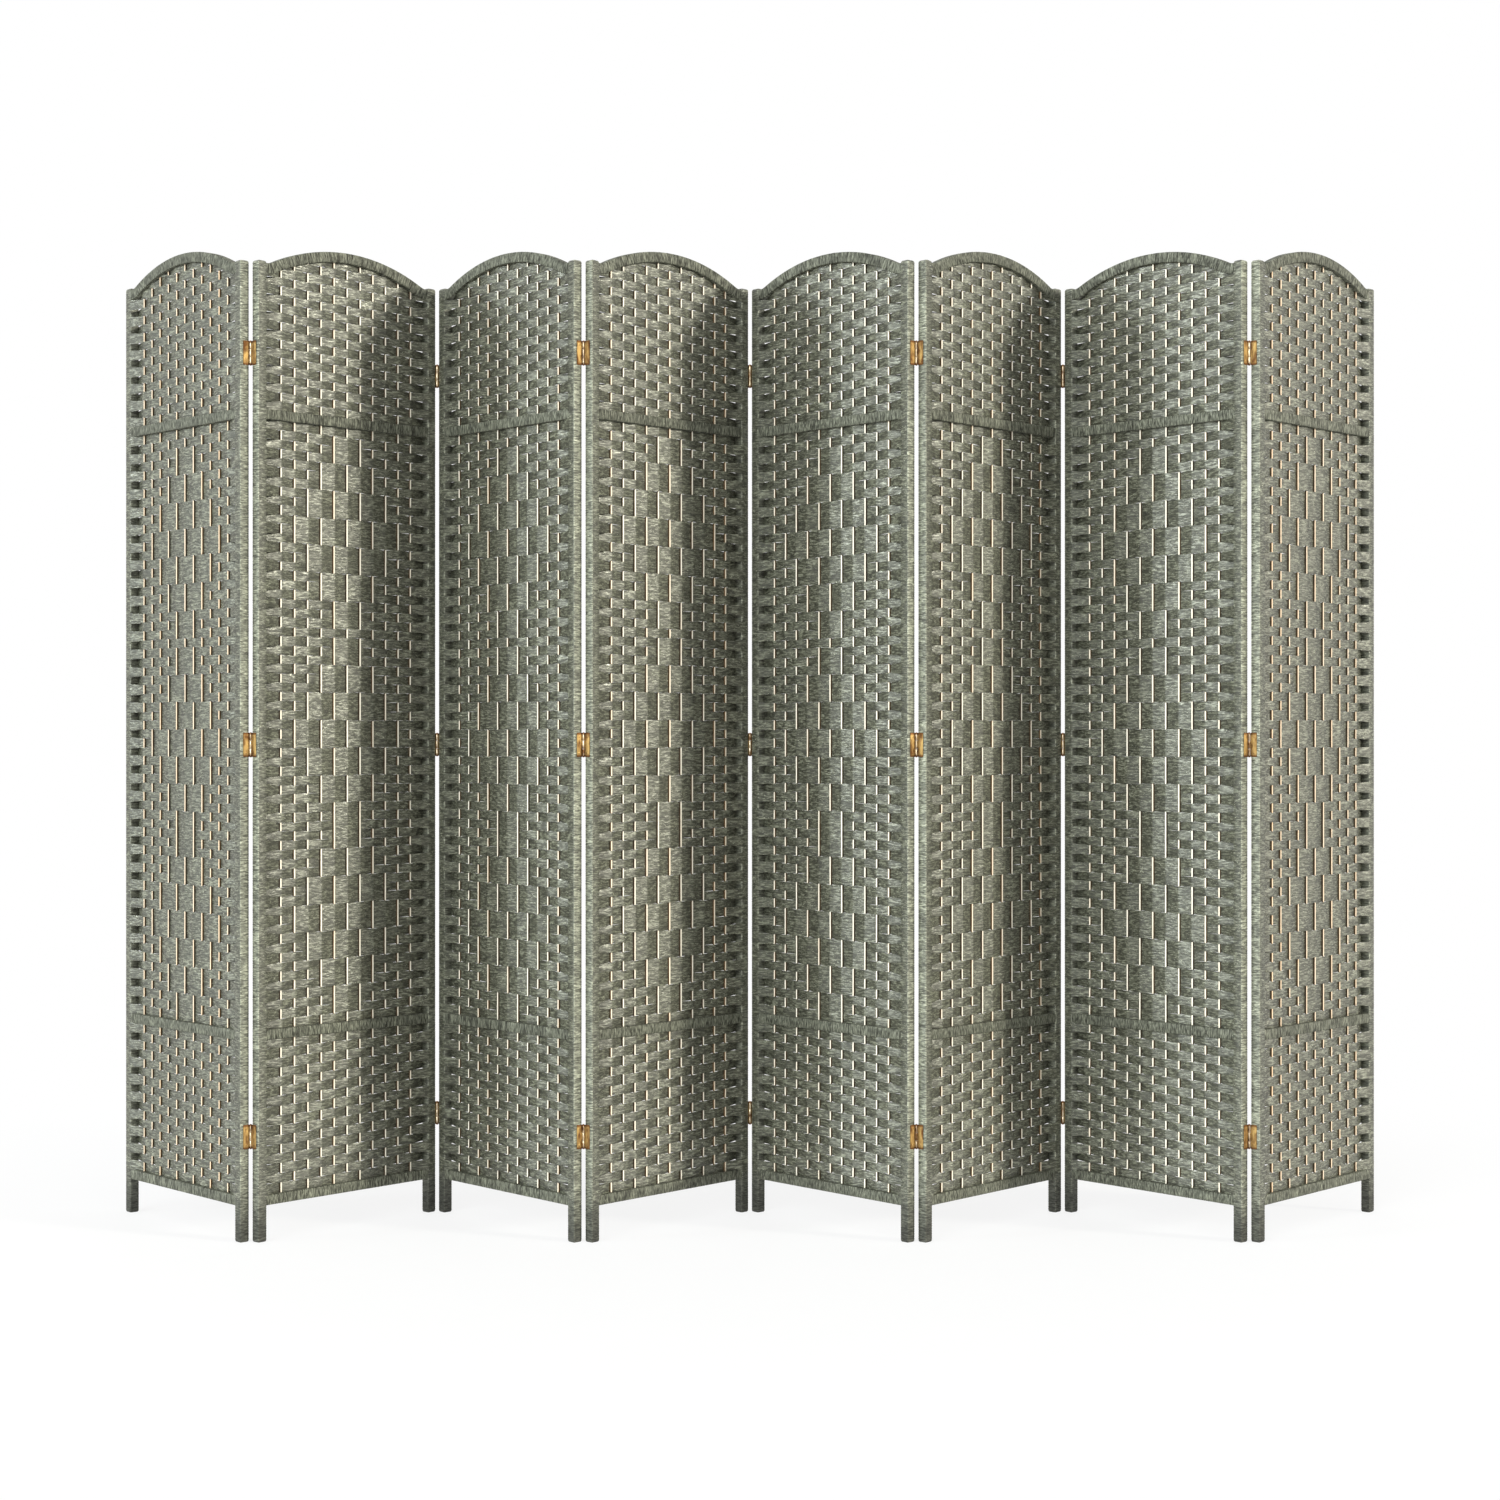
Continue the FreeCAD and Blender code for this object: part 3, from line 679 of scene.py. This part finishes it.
def stand_reeds(sizes, panel):
    """Eleven reeds for a panel. The end panels have warmer ones, with seeds above WARM_SEEDS."""
    random = np.random.RandomState(500 + panel)
    warm = WARM_SEEDS if panel in (1, PANELS) else 0
    loft = Loft()
    outline = rounded_section(sizes.reed_width, sizes.reed_thickness, sizes.reed_round, 3)
    run = perimeter(outline)
    foot = sizes.bottom_rail + sizes.rail_height - REED_TENON
    curve = arch_inner_curve(sizes)
    for x in reed_places(sizes):
        top = np.interp(x, *curve.T) + REED_TENON
        levels = np.linspace(foot, top, REED_RINGS)[:, None]
        breadth = random.uniform(0.93, 1.03, REED_RINGS)[:, None]
        lean = np.sin(levels * random.uniform(2, 5) + random.uniform(0, 6)) * REED_LEAN
        rings = point_grid(x + lean + breadth * outline[:, 0], outline[:, 1], levels)
        loft.add(rings, point_grid(levels, run, random.uniform(1, 90) + warm))
    piece = loft.build("panel_%d_reeds_flat" % panel, panel_matrix(sizes, panel), reed_material())
    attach(piece, "panel_%d" % panel)
    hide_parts("panel_%d_reeds" % panel)


# Woven ribbon: metres, and shares of a row's height where it fans out on a post

OFF_REED = 0.0003
LINE_PLAY = 0.00006
REED_CORNER_SHARE = 0.9
FAN_LENGTH = 0.011
FAN_PAST_POST = 0.004
FAN_IN_FRONT = 0.48
FAN_BEHIND = 0.1
BORDER_PLAY = 0.0004
BORDER_WAVES = ((0.0005, 0.31), (0.00035, 0.12), (0.00022, 0.055))
BORDER_SEEDS = 1 << 30
ROW_END = 0.001

# A row's section: height shares of its eight points, and thickness shares at its edges

ROW_SHARES = np.array([0, 0.14, 0.86, 1, 1, 0.86, 0.14, 0])
EDGE_THICKNESS = 0.97
EDGE_THINNED = 0.67
FIELD_END_APART = 0.3


def plain_weave(first_bare):
    """Which reeds a row leaves bare in plain weave, from the parity of the first bare reed."""
    return (np.arange(1, REEDS + 1) + first_bare) % 2 == 0


def middle_plan(panel):
    """For each row from the top of the middle field, the reeds that it leaves bare."""
    kind = panel % 2
    reaches = [PLAIN] * PLAIN_ROWS_FIRST[kind]
    for rows, reach in LOZENGE_STEPS:
        reaches += [reach] * rows
    reaches += [PLAIN] * (MIDDLE_ROWS - len(reaches))
    offset = np.arange(1, REEDS + 1) - (REEDS + 1) // 2
    plan = []
    for row, reach in enumerate(reaches, start=1):
        bare = plain_weave(row if kind == ODD else row + 1)
        if reach is not PLAIN:
            bare = np.where(np.abs(offset) <= reach, (offset + reach) % 2 == 0, bare)
        plan.append(bare)
    return plan


def fields(sizes, panel):
    """Lowest level, row height and plan, from the bottom row up, of the three fields."""
    kind = panel % 2
    bottom = sizes.bottom_rail + sizes.rail_height
    rows = BOTTOM_ROWS[kind]
    yield bottom, (sizes.lower_rail - bottom) / rows, [plain_weave(row + 1) for row in range(rows)]
    low = sizes.lower_rail + sizes.rail_height
    yield low, (sizes.upper_rail - low) / MIDDLE_ROWS, middle_plan(panel)[::-1]
    low = sizes.upper_rail + sizes.rail_height
    yield low, sizes.top_row, [plain_weave(row + kind) for row in range(TOP_ROWS)]


def ribbon_line(sizes, bare, random):
    """A row's path over and under the reeds, from post to post, as (x, y) knots."""
    half = sizes.post_width / 2
    reach = sizes.reed_thickness / 2 + OFF_REED + sizes.ribbon_thickness / 2
    post = np.array([(0.0009, half - 0.0021), (0.0026, half - 0.0004), (0.008, half - 0.0003),
                     (sizes.post_width - 0.002, half - 0.0003),
                     (sizes.post_width + 0.0006, half - 0.0008)])
    left = post * (1, -1 if bare[0] else 1)
    right = post[::-1] * (-1, -1 if bare[-1] else 1) + (sizes.panel_width, 0)
    knots = [left]
    for x, is_bare in zip(reed_places(sizes), bare):
        y = (reach if is_bare else -reach) + random.uniform(-LINE_PLAY, LINE_PLAY)
        corner_y = y * REED_CORNER_SHARE
        half = sizes.reed_width / 2
        if len(knots) > 1:
            last_x, last_y = knots[-1][-1]
            knots.append([((last_x + x - half) / 2, (last_y + corner_y) / 2)])
        knots.append([(x - half, corner_y), (x, y), (x + half, corner_y)])
    return np.vstack(knots + [right])


def fan(sizes, x, faces_front):
    """How far a row spreads past its own height on a post's face, as a share of its height."""
    from_end = np.minimum(x, sizes.panel_width - x)
    on_post = np.clip((sizes.post_width + FAN_PAST_POST - from_end) / FAN_LENGTH, 0, 1)
    spread = on_post * on_post * (3 - 2 * on_post)
    return (FAN_IN_FRONT if faces_front else FAN_BEHIND) * spread


def wander(random, x):
    """A slow uneven line, in metres, for the border between two rows."""
    line = np.zeros_like(x)
    for amount, wave in BORDER_WAVES:
        line += amount * np.sin(x * 2 * math.pi / wave + random.uniform(0, 6.3))
    return line


def cut_to_arch(x, y, level, pitch, curve):
    """The knots of a row that lie under the arch's inner curve, or None above it."""
    spring = curve[0, 1]
    if level + pitch <= spring - ROW_END:
        return x, y
    under = curve[curve[:, 1] > max(level - 0.0005, spring + 1e-5)]
    if level < spring:
        ends = x[[0, -1]]
    elif len(under) < 2:
        return None
    else:
        ends = under[[0, -1], 0]
    keep = (x > ends[0] + ROW_END) & (x < ends[1] - ROW_END)
    y_ends = np.interp(ends, x, y)
    return (np.concatenate([ends[:1], x[keep], ends[1:]]),
            np.concatenate([y_ends[:1], y[keep], y_ends[1:]]))


def row_rings(sizes, x, y, edges, partings):
    """Sections along a row, thinner at an edge where its neighbour is on the reeds' other side."""
    bottom, top = edges
    under, over = partings
    flat = np.ones_like(x)
    depths = np.column_stack([-under, -flat, -flat, -over, over, flat, flat, under])
    depths = depths * sizes.ribbon_thickness / 2
    z = bottom[:, None] + (top - bottom)[:, None] * ROW_SHARES
    return point_grid(x[:, None], y[:, None] + depths, z)


def weave_field(loft, sizes, random, low, pitch, plan):
    """Rows from the lowest up. Two neighbours share a wavy border, drawn from its own seed."""
    lines = [ribbon_line(sizes, bare, random) for bare in plan]
    borders = [(random.randint(BORDER_SEEDS), random.uniform(-BORDER_PLAY, BORDER_PLAY))
               for _ in range(len(plan) + 1)]
    curve = arch_inner_curve(sizes)
    through = sizes.reed_thickness + sizes.ribbon_thickness
    for row, line in enumerate(lines):
        knots = cut_to_arch(*line.T, low + row * pitch, pitch, curve)
        if knots is None:
            continue
        x, y = knots
        edges = []
        partings = []
        for border, side in ((row, -1), (row + 1, 1)):
            seed, shift = borders[border]
            edge = np.full_like(x, low + border * pitch)
            if 0 < border < len(plan):
                edge += shift + wander(np.random.RandomState(seed), x)
            if 0 <= row + side < len(plan):
                other = np.interp(x, *lines[row + side].T)
                apart = np.clip(np.abs(other - y) / through, 0, 1)
            else:
                apart = np.full_like(x, FIELD_END_APART)
            gap = np.random.RandomState(seed + 1 + side).uniform(0.1, 1.0, len(x))
            edge -= side * apart * gap * sizes.row_gap / 2
            edge += side * pitch * fan(sizes, x, bool(y[0] < 0))
            edges.append(edge)
            partings.append(EDGE_THICKNESS - EDGE_THINNED * np.clip(apart * 3, 0, 1))
        rings = row_rings(sizes, x, y, edges, partings)
        places = point_grid(x[:, None], close_round(rings[..., 2]), random.uniform(1, 90))
        loft.add(rings, places)


def weave_panel(sizes, panel):
    random = np.random.RandomState(700 + panel)
    loft = Loft()
    for low, pitch, plan in fields(sizes, panel):
        weave_field(loft, sizes, random, low, pitch, plan)
    material = paper_material("Paper ribbon", bpy.context.scene.screen_colours.ribbon, fibres=0.8,
                              bundle=0.0027, bump=0.0004, evenness=0.1, sheen=0.22, shine=1.0)
    piece = loft.build("panel_%d_ribbons" % panel, panel_matrix(sizes, panel), material)
    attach(piece, "panel_%d" % panel)
    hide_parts("panel_%d_weave" % panel)


# Hinges: metres, and shares of a knuckle's height and radius

HINGES = 3
KNUCKLES = 3
KNUCKLE_GAP = 0.0003
LEAF_CORNER = 0.0014
LEAF_RIM = 0.0002
LEAF_INSET = 0.0001
STRAP_LAP = 0.001
STRAP_SHARE = 0.96
PIN_SHARE = 0.72
PIN_TIP = 0.0012
PIN_TIP_OFF = 0.0001
METAL_CREASE = math.radians(38)
BARREL_MATERIAL = 1

# Screws: sizes in metres, and shares of the head's radius and of the leaf's width

SCREW_RADIUS = 0.0021
SCREW_CROWN = 0.00018
SCREW_PROUD = 0.00002
SCREW_RIM = 0.0006
SCREW_MIDDLE = 0.0004
SCREW_LIFT = 0.0142
SCREW_IN_LEAF = 0.56
SLOT_REACH = 0.68
SLOT_HALF_WIDTH = 0.15
SLOT_DEPTH = 0.0005


def add_barrel(shape, radius, height, place, segments=24):
    """A knuckle or pin, with softened rims."""
    spin = bmesh.ops.create_cone(shape, cap_ends=True, segments=segments, radius1=radius,
                                 radius2=radius, depth=height, matrix=Matrix.Translation(place))
    for vert in spin["verts"]:
        for face in vert.link_faces:
            face.material_index = BARREL_MATERIAL
    edges = dict.fromkeys(edge for vert in spin["verts"] for edge in vert.link_edges)
    rims = [edge for edge in edges if abs(edge.verts[0].co.z - edge.verts[1].co.z) < 1e-7]
    bmesh.ops.bevel(shape, geom=rims, offset=min(radius * 0.2, 0.0003), segments=2, profile=0.5,
                    affect="EDGES")


def add_plate(shape, low, high):
    """A leaf's plate, with rounded corners and softened rims."""
    x0, y0, z0 = low
    x1, y1, z1 = high
    outline = []
    for y, z, start in ((y0, z0, 180), (y1, z0, 270), (y1, z1, 0), (y0, z1, 90)):
        inner_y = y + (LEAF_CORNER if y == y0 else -LEAF_CORNER)
        inner_z = z + (LEAF_CORNER if z == z0 else -LEAF_CORNER)
        for turn in (0, 30, 60, 90):
            angle = math.radians(start + turn)
            outline.append((inner_y + LEAF_CORNER * math.cos(angle),
                            inner_z + LEAF_CORNER * math.sin(angle)))
    ring = [shape.verts.new((x0, y, z)) for y, z in outline]
    face = shape.faces.new(ring)
    grown = bmesh.ops.extrude_face_region(shape, geom=[face])
    lifted = [item for item in grown["geom"] if isinstance(item, bmesh.types.BMVert)]
    bmesh.ops.translate(shape, vec=(x1 - x0, 0, 0), verts=lifted)
    rims = dict.fromkeys(edge for face in shape.faces if len(face.verts) == len(outline)
                         for edge in face.edges)
    bmesh.ops.bevel(shape, geom=list(rims), offset=LEAF_RIM, segments=1, affect="EDGES")


def add_strap(shape, low, high, foot, knuckle):
    """A bar from a leaf's plate to one of its knuckles, between two corners (x, y)."""
    for vert in bmesh.ops.create_cube(shape, size=1.0)["verts"]:
        vert.co = Vector(((low[0] + high[0]) / 2 + vert.co.x * (high[0] - low[0]),
                          (low[1] + high[1]) / 2 + vert.co.y * (high[1] - low[1]),
                          foot + knuckle * (0.5 + vert.co.z * STRAP_SHARE)))


def add_screw(shape, place, out):
    """A flat countersunk head with a crossed slot, facing along X."""
    rings, sectors, radius = 8, 32, SCREW_RADIUS
    grid = []
    for ring in range(1, rings + 1):
        reach = radius * ring / rings
        row = []
        for sector in range(sectors):
            turn = 2 * math.pi * sector / sectors
            y, z = reach * math.cos(turn), reach * math.sin(turn)
            in_slot = reach < radius * SLOT_REACH and min(abs(y), abs(z)) < radius * SLOT_HALF_WIDTH
            rise = SCREW_CROWN * (1 - (reach / radius)**3) - (SLOT_DEPTH if in_slot else 0)
            row.append(shape.verts.new((place[0] + out * rise, place[1] + y, place[2] + z)))
        grid.append(row)
    grid.append([shape.verts.new(vert.co - Vector((out * SCREW_RIM, 0, 0))) for vert in grid[-1]])
    middle = shape.verts.new((place[0] - out * SCREW_MIDDLE, place[1], place[2]))
    for sector in range(sectors):
        following = (sector + 1) % sectors
        shape.faces.new((middle, grid[0][sector], grid[0][following]))
        for inner, outer in zip(grid[:-1], grid[1:]):
            shape.faces.new((inner[sector], outer[sector], outer[following], inner[following]))
    shape.faces.new(grid[-1])


def finish_shape(shape, name, matrix, materials):
    bmesh.ops.recalc_face_normals(shape, faces=shape.faces)
    mesh = bpy.data.meshes.new(name)
    shape.to_mesh(mesh)
    shape.free()
    mesh.transform(matrix)
    for material in materials:
        mesh.materials.append(material)
    mesh.shade_smooth()
    mesh.set_sharp_from_angle(angle=METAL_CREASE)
    return place_object(name, mesh)


def hinge_levels(sizes):
    return np.linspace(sizes.lowest_hinge, sizes.highest_hinge, HINGES)


def leaf_frame(sizes, fold, end):
    """Panel and kind of a fold's leaves, side of their pins (1 behind it, -1 in front), X of their
    end face and the way out of it. Pinned leaves are on the right end of a fold's first panel."""
    side = 1 if fold % 2 == ODD else -1
    if end == "right":
        return fold, "pinned", side, sizes.panel_width, 1
    return fold + 1, "free", side, 0.0, -1


def fit_leaves(sizes, fold, end):
    """Three leaves of one fold, with their knuckles, and with the pins' tips on the pinned side."""
    panel, kind, side, face, out = leaf_frame(sizes, fold, end)
    pinned = kind == "pinned"
    knuckle = (sizes.hinge_height - 2 * KNUCKLE_GAP) / KNUCKLES
    pin = (face + out * sizes.end_gap / 2, side * across_pin(sizes))
    edge = side * (sizes.post_width / 2 - LEAF_INSET)
    low_x, high_x = sorted((face, face + out * sizes.leaf_thickness))
    low_y, high_y = sorted((edge, edge - side * sizes.leaf_width))
    strap_low, strap_high = sorted((edge - side * STRAP_LAP, pin[1]))
    half = sizes.hinge_height / 2
    shape = bmesh.new()
    for level in hinge_levels(sizes):
        add_plate(shape, (low_x, low_y, level - half), (high_x, high_y, level + half))
        for number in ((0, 2) if pinned else (1,)):
            foot = level - half + number * (knuckle + KNUCKLE_GAP)
            add_barrel(shape, sizes.barrel_radius, knuckle, (*pin, foot + knuckle / 2))
            add_strap(shape, (low_x, strap_low), (high_x, strap_high), foot, knuckle)
        if pinned:
            for tip in (-1, 1):
                add_barrel(shape, sizes.barrel_radius * PIN_SHARE, PIN_TIP,
                           (*pin, level + tip * (half + PIN_TIP_OFF)), segments=20)
    colours = bpy.context.scene.screen_colours
    # The barrels' pale rubbed brass is partly a painted highlight along the knuckles and pins
    materials = (brass_material("Brass", colours.brass, tarnish=0.1, rough=0.56),
                 brass_material("Rubbed brass", colours.brass_rubbed_and_highlight, tarnish=0.0, rough=0.24))
    piece = finish_shape(shape, "fold_%d_%s_leaf" % (fold, kind), panel_matrix(sizes, panel),
                         materials)
    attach(piece, "panel_%d" % panel)
    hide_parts("fold_%d_%s_leaves" % (fold, kind))


def drive_screws(sizes, fold, end):
    """Two screws for each leaf."""
    panel, kind, side, face, out = leaf_frame(sizes, fold, end)
    x = face + out * (sizes.leaf_thickness + SCREW_PROUD)
    y = side * (sizes.post_width / 2 - sizes.leaf_width * SCREW_IN_LEAF)
    shape = bmesh.new()
    for level in hinge_levels(sizes):
        for lift in (-SCREW_LIFT, SCREW_LIFT):
            add_screw(shape, (x, y, level + lift), out)
    metal = bpy.context.scene.screen_colours.brass
    piece = finish_shape(shape, "fold_%d_%s_screws" % (fold, kind), panel_matrix(sizes, panel),
                         [brass_material("Screw brass", metal, tarnish=0.35, rough=0.4)])
    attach(piece, "panel_%d" % panel)


# Stage

FLOOR_RADIUS = 14.0
FLOOR_RINGS = 12
FLOOR_SECTORS = 64
BOUNCED_WHITE = 0.76
NEAR_FOLDS = -0.1411
CAMERA_DISTANCE = 4.42
CAMERA_LEVEL = 0.870
CAMERA_LENS = 61.2
CAMERA_SHIFT = -0.0069

# Lamps: name, strength, colour, where the light comes from, and its apparent size in degrees

LAMPS = (
    ("Key", 2.6, (1.0, 0.97, 0.86), (9.19, -3.95, 2.6), 7),
    ("Left", 1.2, (0.89, 0.98, 1.0), (-9.4, -3.4, 2.0), 9),
    ("Fill", 2.25, (0.9, 0.98, 1.0), (-5.7, -8.2, 3.0), 40),
    ("Front", 0.3, (1.0, 1.0, 0.94), (0, -10, 5.0), 70),
)


def seen_white(tree):
    """One for rays from the camera, from gloss and through glass, and zero for light on things."""
    path = add_node(tree, "ShaderNodeLightPath").outputs
    seen = arithmetic(tree, "MAXIMUM", path["Is Camera Ray"], path["Is Glossy Ray"])
    return arithmetic(tree, "MAXIMUM", seen, path["Is Transmission Ray"])


def floor_material():
    """Pale floor that keeps the shadow near the screen and turns to plain white further out."""
    material, tree, shader = new_material("Pale floor")
    shader.inputs["Roughness"].default_value = 0.7
    pale = bpy.context.scene.screen_colours.floor
    place = add_node(tree, "ShaderNodeNewGeometry").outputs["Position"]
    far = add_node(tree, "ShaderNodeVectorMath", [(0, place)], operation="LENGTH").outputs["Value"]
    speckle = stretched_noise(tree, place, (9.0, 9.0, 9.0), detail=3.0)
    colour = blend_colours(tree, remap(tree, speckle, 0.3, 0.7), (*pale, 1),
                           (*(channel * 0.985 for channel in pale), 1))
    tree.links.new(colour, shader.inputs["Base Color"])
    white = add_node(tree, "ShaderNodeEmission", [("Strength", 1.0)])
    share = arithmetic(tree, "MULTIPLY", remap(tree, far, 1.2, 2.2, 0.8, 1.0), seen_white(tree))
    mix = add_node(tree, "ShaderNodeMixShader", [(0, share), (1, shader.outputs[0]),
                                                 (2, white.outputs[0])])
    tree.links.new(mix.outputs[0], tree.nodes["Material Output"].inputs["Surface"])
    return material


def build_floor():
    points = [(0, 0, 0)]
    faces = []
    for ring in range(1, FLOOR_RINGS + 1):
        reach = FLOOR_RADIUS * (ring / FLOOR_RINGS)**2
        for sector in range(FLOOR_SECTORS):
            turn = 2 * math.pi * sector / FLOOR_SECTORS
            points.append((reach * math.cos(turn), reach * math.sin(turn), 0))
    for sector in range(FLOOR_SECTORS):
        following = (sector + 1) % FLOOR_SECTORS
        faces.append((0, 1 + sector, 1 + following))
        for ring in range(FLOOR_RINGS - 1):
            inner = 1 + ring * FLOOR_SECTORS
            outer = inner + FLOOR_SECTORS
            faces.append((inner + sector, outer + sector, outer + following, inner + following))
    mesh = bpy.data.meshes.new("Floor")
    mesh.from_pydata(points, [], faces)
    mesh.materials.append(floor_material())
    floor = place_object("Floor", mesh)
    floor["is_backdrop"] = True


def build_world():
    """White to look at, and a little darker as light on the screen."""
    world = bpy.data.worlds.new("Studio")
    world.use_nodes = True
    tree = world.node_tree
    background = tree.nodes["Background"]
    background.inputs["Color"].default_value = (1, 1, 1, 1)
    strength = remap(tree, seen_white(tree), 0.0, 1.0, BOUNCED_WHITE, 1.0)
    tree.links.new(strength, background.inputs["Strength"])
    bpy.context.scene.world = world


def add_lamp(name, strength, colour, place, size):
    """A far lamp that shines on the screen's middle."""
    lamp = bpy.data.lights.new(name, "SUN")
    lamp.energy = strength
    lamp.color = colour
    lamp.angle = math.radians(size)
    stand = place_object(name, lamp)
    stand.location = place
    stand.rotation_euler = (-Vector(place)).to_track_quat("-Z", "Y").to_euler()


def build_camera():
    """A level camera, square to the screen's line."""
    camera = bpy.data.cameras.new("Camera")
    camera.lens = CAMERA_LENS
    camera.sensor_width = 36
    camera.shift_y = CAMERA_SHIFT
    stand = place_object("Camera", camera)
    stand.location = (0, NEAR_FOLDS - CAMERA_DISTANCE, CAMERA_LEVEL)
    stand.rotation_euler = (math.radians(90), 0, 0)
    bpy.context.scene.camera = stand


def build_stage():
    build_floor()
    build_world()
    for lamp in LAMPS:
        add_lamp(*lamp)
    build_camera()
    bpy.context.scene.view_settings.view_transform = "Standard"


# Operators and sidebar panel


def for_each_panel(context, make):
    for panel in range(1, PANELS + 1):
        make(context.scene.screen_sizes, panel)
    return {"FINISHED"}


class SCREEN_OT_wind_posts(bpy.types.Operator):
    """Wind the sixteen posts with paper strands"""

    bl_idname = "screen.wind_posts"
    bl_label = "Wind Posts"

    def execute(self, context):
        return for_each_panel(context, wind_posts)


class SCREEN_OT_wind_rails(bpy.types.Operator):
    """Wind the straight and arched rails of each panel"""

    bl_idname = "screen.wind_rails"
    bl_label = "Wind Rails"

    def execute(self, context):
        return for_each_panel(context, wind_rails)


class SCREEN_OT_stand_reeds(bpy.types.Operator):
    """Stand the flat reeds in each panel"""

    bl_idname = "screen.stand_reeds"
    bl_label = "Stand Reeds"

    def execute(self, context):
        return for_each_panel(context, stand_reeds)


class SCREEN_OT_weave_ribbons(bpy.types.Operator):
    """Weave the rows of ribbon through the reeds"""

    bl_idname = "screen.weave_ribbons"
    bl_label = "Weave Ribbons"

    def execute(self, context):
        return for_each_panel(context, weave_panel)


class SCREEN_OT_fit_hinges(bpy.types.Operator):
    """Fit the hinge leaves, barrels, pins and screws of each fold"""

    bl_idname = "screen.fit_hinges"
    bl_label = "Fit Hinges"

    def execute(self, context):
        for fold in range(1, FOLDS + 1):
            for end in ("right", "left"):
                fit_leaves(context.scene.screen_sizes, fold, end)
                drive_screws(context.scene.screen_sizes, fold, end)
        return {"FINISHED"}


class SCREEN_OT_build_stage(bpy.types.Operator):
    """Set the floor, lights and camera"""

    bl_idname = "screen.build_stage"
    bl_label = "Build Stage"

    def execute(self, context):
        build_stage()
        return {"FINISHED"}


class VIEW3D_PT_screen(bpy.types.Panel):
    """Steps, sizes and colours of the folding screen"""

    bl_label = "Folding Screen"
    bl_idname = "VIEW3D_PT_screen"
    bl_space_type = "VIEW_3D"
    bl_region_type = "UI"
    bl_category = "Screen"

    def draw(self, context):
        for operator in OPERATORS:
            self.layout.operator(operator.bl_idname)
        for group in (context.scene.screen_sizes, context.scene.screen_colours):
            for name in group.__annotations__:
                self.layout.prop(group, name)


OPERATORS = (SCREEN_OT_wind_posts, SCREEN_OT_wind_rails, SCREEN_OT_stand_reeds,
             SCREEN_OT_weave_ribbons, SCREEN_OT_fit_hinges, SCREEN_OT_build_stage)
CLASSES = (ScreenSizes, ScreenColours, *OPERATORS, VIEW3D_PT_screen)


def register():
    for item in CLASSES:
        bpy.utils.register_class(item)
    bpy.types.Scene.screen_sizes = PointerProperty(type=ScreenSizes)
    bpy.types.Scene.screen_colours = PointerProperty(type=ScreenColours)


def unregister():
    del bpy.types.Scene.screen_colours
    del bpy.types.Scene.screen_sizes
    for item in reversed(CLASSES):
        bpy.utils.unregister_class(item)


def main():
    register()
    bpy.ops.screen.wind_posts()
    bpy.ops.screen.wind_rails()
    bpy.ops.screen.stand_reeds()
    bpy.ops.screen.weave_ribbons()
    bpy.ops.screen.fit_hinges()
    bpy.ops.screen.build_stage()
    limits = [[list(corner) for corner in box] for box in (cad_limits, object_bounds())]


if __name__ == "__main__":
    main()
